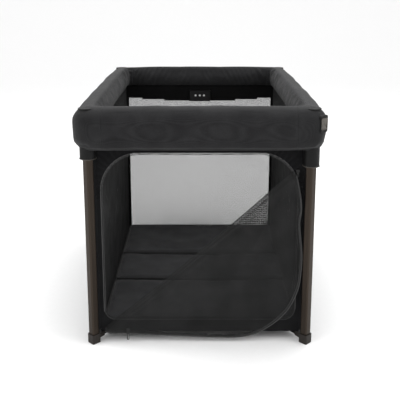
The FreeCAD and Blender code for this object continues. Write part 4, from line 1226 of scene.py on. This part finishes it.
cast_slider("upper_zip_pull", "zip_slider_upper", 0.012)
cast_slider("lower_zip_pull", "zip_slider_lower", 0.026)

# %% [markdown]
# ## Mattress
# The mattress is three stiff panels sewn into one charcoal cover, so it folds. Each is a block with rounded
# corners, remeshed and swollen as cloth. Piping runs round the top edge. The panels nearly meet, so the
# creases between them are narrow.
# %% Fill the mattress panels
PIPING_RADIUS = 0.0028


def fill_panel(node):
    low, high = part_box(node)
    margin = Vector((0.003, -0.0006, 0.003))
    pad = add_block(node.replace("mattress", "mattress_pad"), low + margin, high - margin)
    bevel_all(pad, 0.004, 3)
    soften_by_cloth(pad, 0.006, 2.2, 0.0045, lambda point: point.z < low.z + 0.005, shrink=-0.004)
    middle = (low + high) / 2

    def settle(point):
        wave = 0.0016 * noise.noise(Vector((point.x * 7, point.y * 7, 2.0)))
        point.z += wave if point.z > middle.z else 0
        return point

    move_points(pad, settle)
    modify(pad, "LAPLACIANSMOOTH", iterations=3, lambda_factor=0.3)
    pad.data.materials.append(mattress_cloth)
    smooth(pad, 60)
    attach(pad, node)
    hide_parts(node)
    inner = Vector((high.x - 0.006, high.y - low.y, high.z - 0.0035))
    corner = 0.014
    path = []
    for sx, sy, first in ((1, 1, 0), (-1, 1, 90), (-1, -1, 180), (1, -1, 270)):
        cx = sx * (inner.x - corner)
        cy = middle.y + sy * ((high.y - low.y) / 2 - 0.005 - corner)
        for i in range(7):
            turn = math.radians(first + 15 * i)
            path.append(Vector((cx + corner * math.cos(turn), cy + corner * math.sin(turn), inner.z)))
    loop = even_steps(path + [path[0]], 0.006)[:-1]
    cord = add_piping(pad.name + "_piping", loop, PIPING_RADIUS, tape_cloth, closed=True)
    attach(cord, node)


for node in ("mattress_front", "mattress_middle", "mattress_back"):
    fill_panel(node)

# %% [markdown]
# ## Floor cloth
# A thin cloth closes the base. It is sewn to the four walls and crumples as the frame folds, so it is cut
# into four quarters, each on its own base leg, and each flattens towards that leg. A narrow hem carries it
# under the walls, so no light shows along them.
# %% Lay the floor cloth
FLOOR_HEM = 0.003
floor_low, floor_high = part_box("floor_cloth")
quarter_x, quarter_y = floor_high.x + FLOOR_HEM, floor_high.y + FLOOR_HEM
for corner, (sx, sy) in CORNERS.items():
    def quarter_point(u, v, sx=sx, sy=sy):
        x, y = sx * u * quarter_x, sy * v * quarter_y
        z = (floor_low.z + floor_high.z) / 2 + 0.0002 * noise.noise(Vector((x * 20, y * 20, 0)))
        return Vector((x, y, z))

    quarter = stretch_grid(f"floor_quarter_{corner}", quarter_point, 30, 40)
    turn_outwards(quarter)
    modify(quarter, "SOLIDIFY", thickness=0.001, offset=0.0)
    quarter.data.materials.append(wall_cloth)
    smooth(quarter, 60)
    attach(quarter, f"base_leg_{corner}")
    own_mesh(quarter)
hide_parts("floor_cloth")
print("floor cloth laid in four quarters")

# %% [markdown]
# ## Small fittings
# The pull strap lies on the floor cloth, over the hub: flat webbing with a stitched box at its middle.
# %% Sew the pull strap
strap_low, strap_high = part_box("pull_strap")


def strap_point(u, v):
    x = strap_low.x + u * (strap_high.x - strap_low.x)
    y = strap_low.y + v * (strap_high.y - strap_low.y)
    return Vector((x, y, strap_high.z - 0.0007 - 0.0002 * math.cos(v * 22)))


strap = stretch_grid("pull_strap_webbing", strap_point, 8, 40)
modify(strap, "SOLIDIFY", thickness=0.0011, offset=0.0)
stitches = add_piping("strap_box_stitch", [Vector((x, y, strap_high.z)) for x, y in (
    (-0.010, -0.012), (0.010, -0.012), (0.010, 0.012), (-0.010, 0.012), (-0.010, -0.012), (0.010, 0.012))],
    0.0005, grey_thread)
strap.data.materials.append(webbing)
smooth(strap, 60)
for piece in (strap, stitches):
    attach(piece, "hub")
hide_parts("pull_strap")

# %% [markdown]
# A soft rubber patch is sewn high on the back wall. Its rim is raised, and three plain dots stand for its
# print.
# %% Mould the patch
patch_low, patch_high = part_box("back_patch")
patch = add_block("back_wall_patch", patch_low, patch_high)
pick_running(patch, 1, 0.0005)
bpy.ops.mesh.bevel(offset=0.006, segments=6, affect="EDGES")
pick(patch, "FACE", lambda point: point.y < patch_low.y + 1e-5)
bpy.ops.mesh.inset(thickness=0.0022)
bpy.ops.mesh.extrude_region_move(TRANSFORM_OT_translate={"value": (0, 0.0004, 0)})
leave_edit_mode()
patch.data.materials.append(patch_rubber)
smooth(patch, 40)
DOT_PITCH, DOT_RADIUS = 0.018, 0.0042
for i in (-1, 0, 1):
    bpy.ops.object.select_all(action="DESELECT")
    place = (i * DOT_PITCH, patch_low.y + 0.0004, (patch_low.z + patch_high.z) / 2)
    bpy.ops.mesh.primitive_cylinder_add(vertices=20, radius=DOT_RADIUS, depth=0.0006, location=place,
                                        rotation=(math.radians(90), 0, 0))
    bpy.ops.object.transform_apply(location=True, rotation=True, scale=True)
    dot = name_new(f"patch_dot_{i + 2}")
    pick(dot, "FACE", lambda point: point.y < patch_low.y + 0.0002)
    bpy.ops.mesh.inset(thickness=0.0012)
    leave_edit_mode()
    dot.data.materials.append(pale_print)
    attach(dot, "post_back_left")
    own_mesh(dot)
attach(patch, "post_back_left")
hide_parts("back_patch")
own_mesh(patch)
print("patch moulded")

# %% [markdown]
# Each bracket's collar ends in a thin moulded lip, like a rim on a cap, drawn in a grey lighter than the
# black collar, so that its colour paints the highlight the rim catches. It is a torus, flattened and set
# round the leg.
# %% Put a lip on each collar
COLLAR_RADIUS, LIP_RADIUS = 0.024, 0.0017
LIP_HEIGHT, BUTTON_LIP_HEIGHT = 0.599, 0.576
for corner, (sx, sy) in CORNERS.items():
    height = BUTTON_LIP_HEIGHT if corner == "front_right" else LIP_HEIGHT
    bpy.ops.object.select_all(action="DESELECT")
    bpy.ops.mesh.primitive_torus_add(major_radius=COLLAR_RADIUS, minor_radius=LIP_RADIUS, major_segments=48,
                                     minor_segments=10, location=(sx * POST_X, sy * POST_Y, height))
    lip = name_new(f"collar_lip_{corner}")
    bpy.ops.transform.resize(value=(1, 1, 0.75))
    bpy.ops.object.transform_apply(location=True, rotation=True, scale=True)
    lip.data.materials.append(lip_nylon_painted_highlight)
    smooth(lip, 60)
    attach(lip, f"post_{corner}")
print("lips added")

# %% [markdown]
# The release button sits in the front right corner. Its well has a satin silver rim, and the button is a
# dished bronze key. Both are modelled facing +X at the post and then turned to face out of the corner.
# %% Dish the button and rim its well
HOUSING_FACE, KEY_FACE = 0.0415, 0.0410
BUTTON_Z = 0.709
KEY_HALF, RIM_HALF = (0.0131, 0.0156), (0.0149, 0.0174)


def face_corner(piece):
    select_only(piece)
    turned = Matrix.Translation((POST_X, -POST_Y, 0)) @ Matrix.Rotation(math.radians(-45), 4, "Z")
    return move_points(piece, lambda point: turned @ point)


def rounded_block(name, low, high, corner):
    """A block whose four edges along X are rounded. No face is selected, so none brings its other edges."""
    block = add_block(name, low, high)
    pick(block, "VERT", lambda point: False)
    leave_edit_mode()
    bpy.context.tool_settings.mesh_select_mode = (False, True, False)
    for edge in block.data.edges:
        a, b = (block.data.vertices[i].co for i in edge.vertices)
        edge.select = abs(a.x - b.x) > 0.0005
    bpy.ops.object.mode_set(mode="EDIT")
    bpy.ops.mesh.bevel(offset=corner, segments=6, affect="EDGES")
    leave_edit_mode()
    return block


key = rounded_block("bronze_button", (KEY_FACE - 0.005, -KEY_HALF[0], BUTTON_Z - KEY_HALF[1]),
                    (KEY_FACE, KEY_HALF[0], BUTTON_Z + KEY_HALF[1]), 0.0046)
pick(key, "FACE", lambda point: point.x > KEY_FACE - 1e-5)
bpy.ops.mesh.inset(thickness=0.0012)
bpy.ops.mesh.inset(thickness=0.0030)
bpy.ops.mesh.extrude_region_move(TRANSFORM_OT_translate={"value": (-0.0012, 0, 0)})
bpy.ops.mesh.inset(thickness=0.0020)
leave_edit_mode()
key.data.materials.append(bronze_key)
face_corner(key)
smooth(key, 35)
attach(key, "release_button")
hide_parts("release_button")

rim = rounded_block("button_rim", (HOUSING_FACE - 0.0004, -RIM_HALF[0], BUTTON_Z - RIM_HALF[1]),
                    (HOUSING_FACE + 0.0012, RIM_HALF[0], BUTTON_Z + RIM_HALF[1]), 0.0060)
for face_test in (lambda point: point.x > HOUSING_FACE + 0.0011,
                  lambda point: point.x < HOUSING_FACE - 0.0003):
    open_face(rim, face_test, 0.0015)
pick(rim, "EDGE", lambda point: abs(point.y) < 0.01345 and abs(point.z - BUTTON_Z) < 0.01595)
bpy.ops.mesh.bridge_edge_loops()
turn_outwards(rim)
modify(rim, "BEVEL", width=0.0004, segments=2)
rim.data.materials.append(satin_silver)
face_corner(rim)
smooth(rim, 40)
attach(rim, "post_front_right")
print("button and rim made")
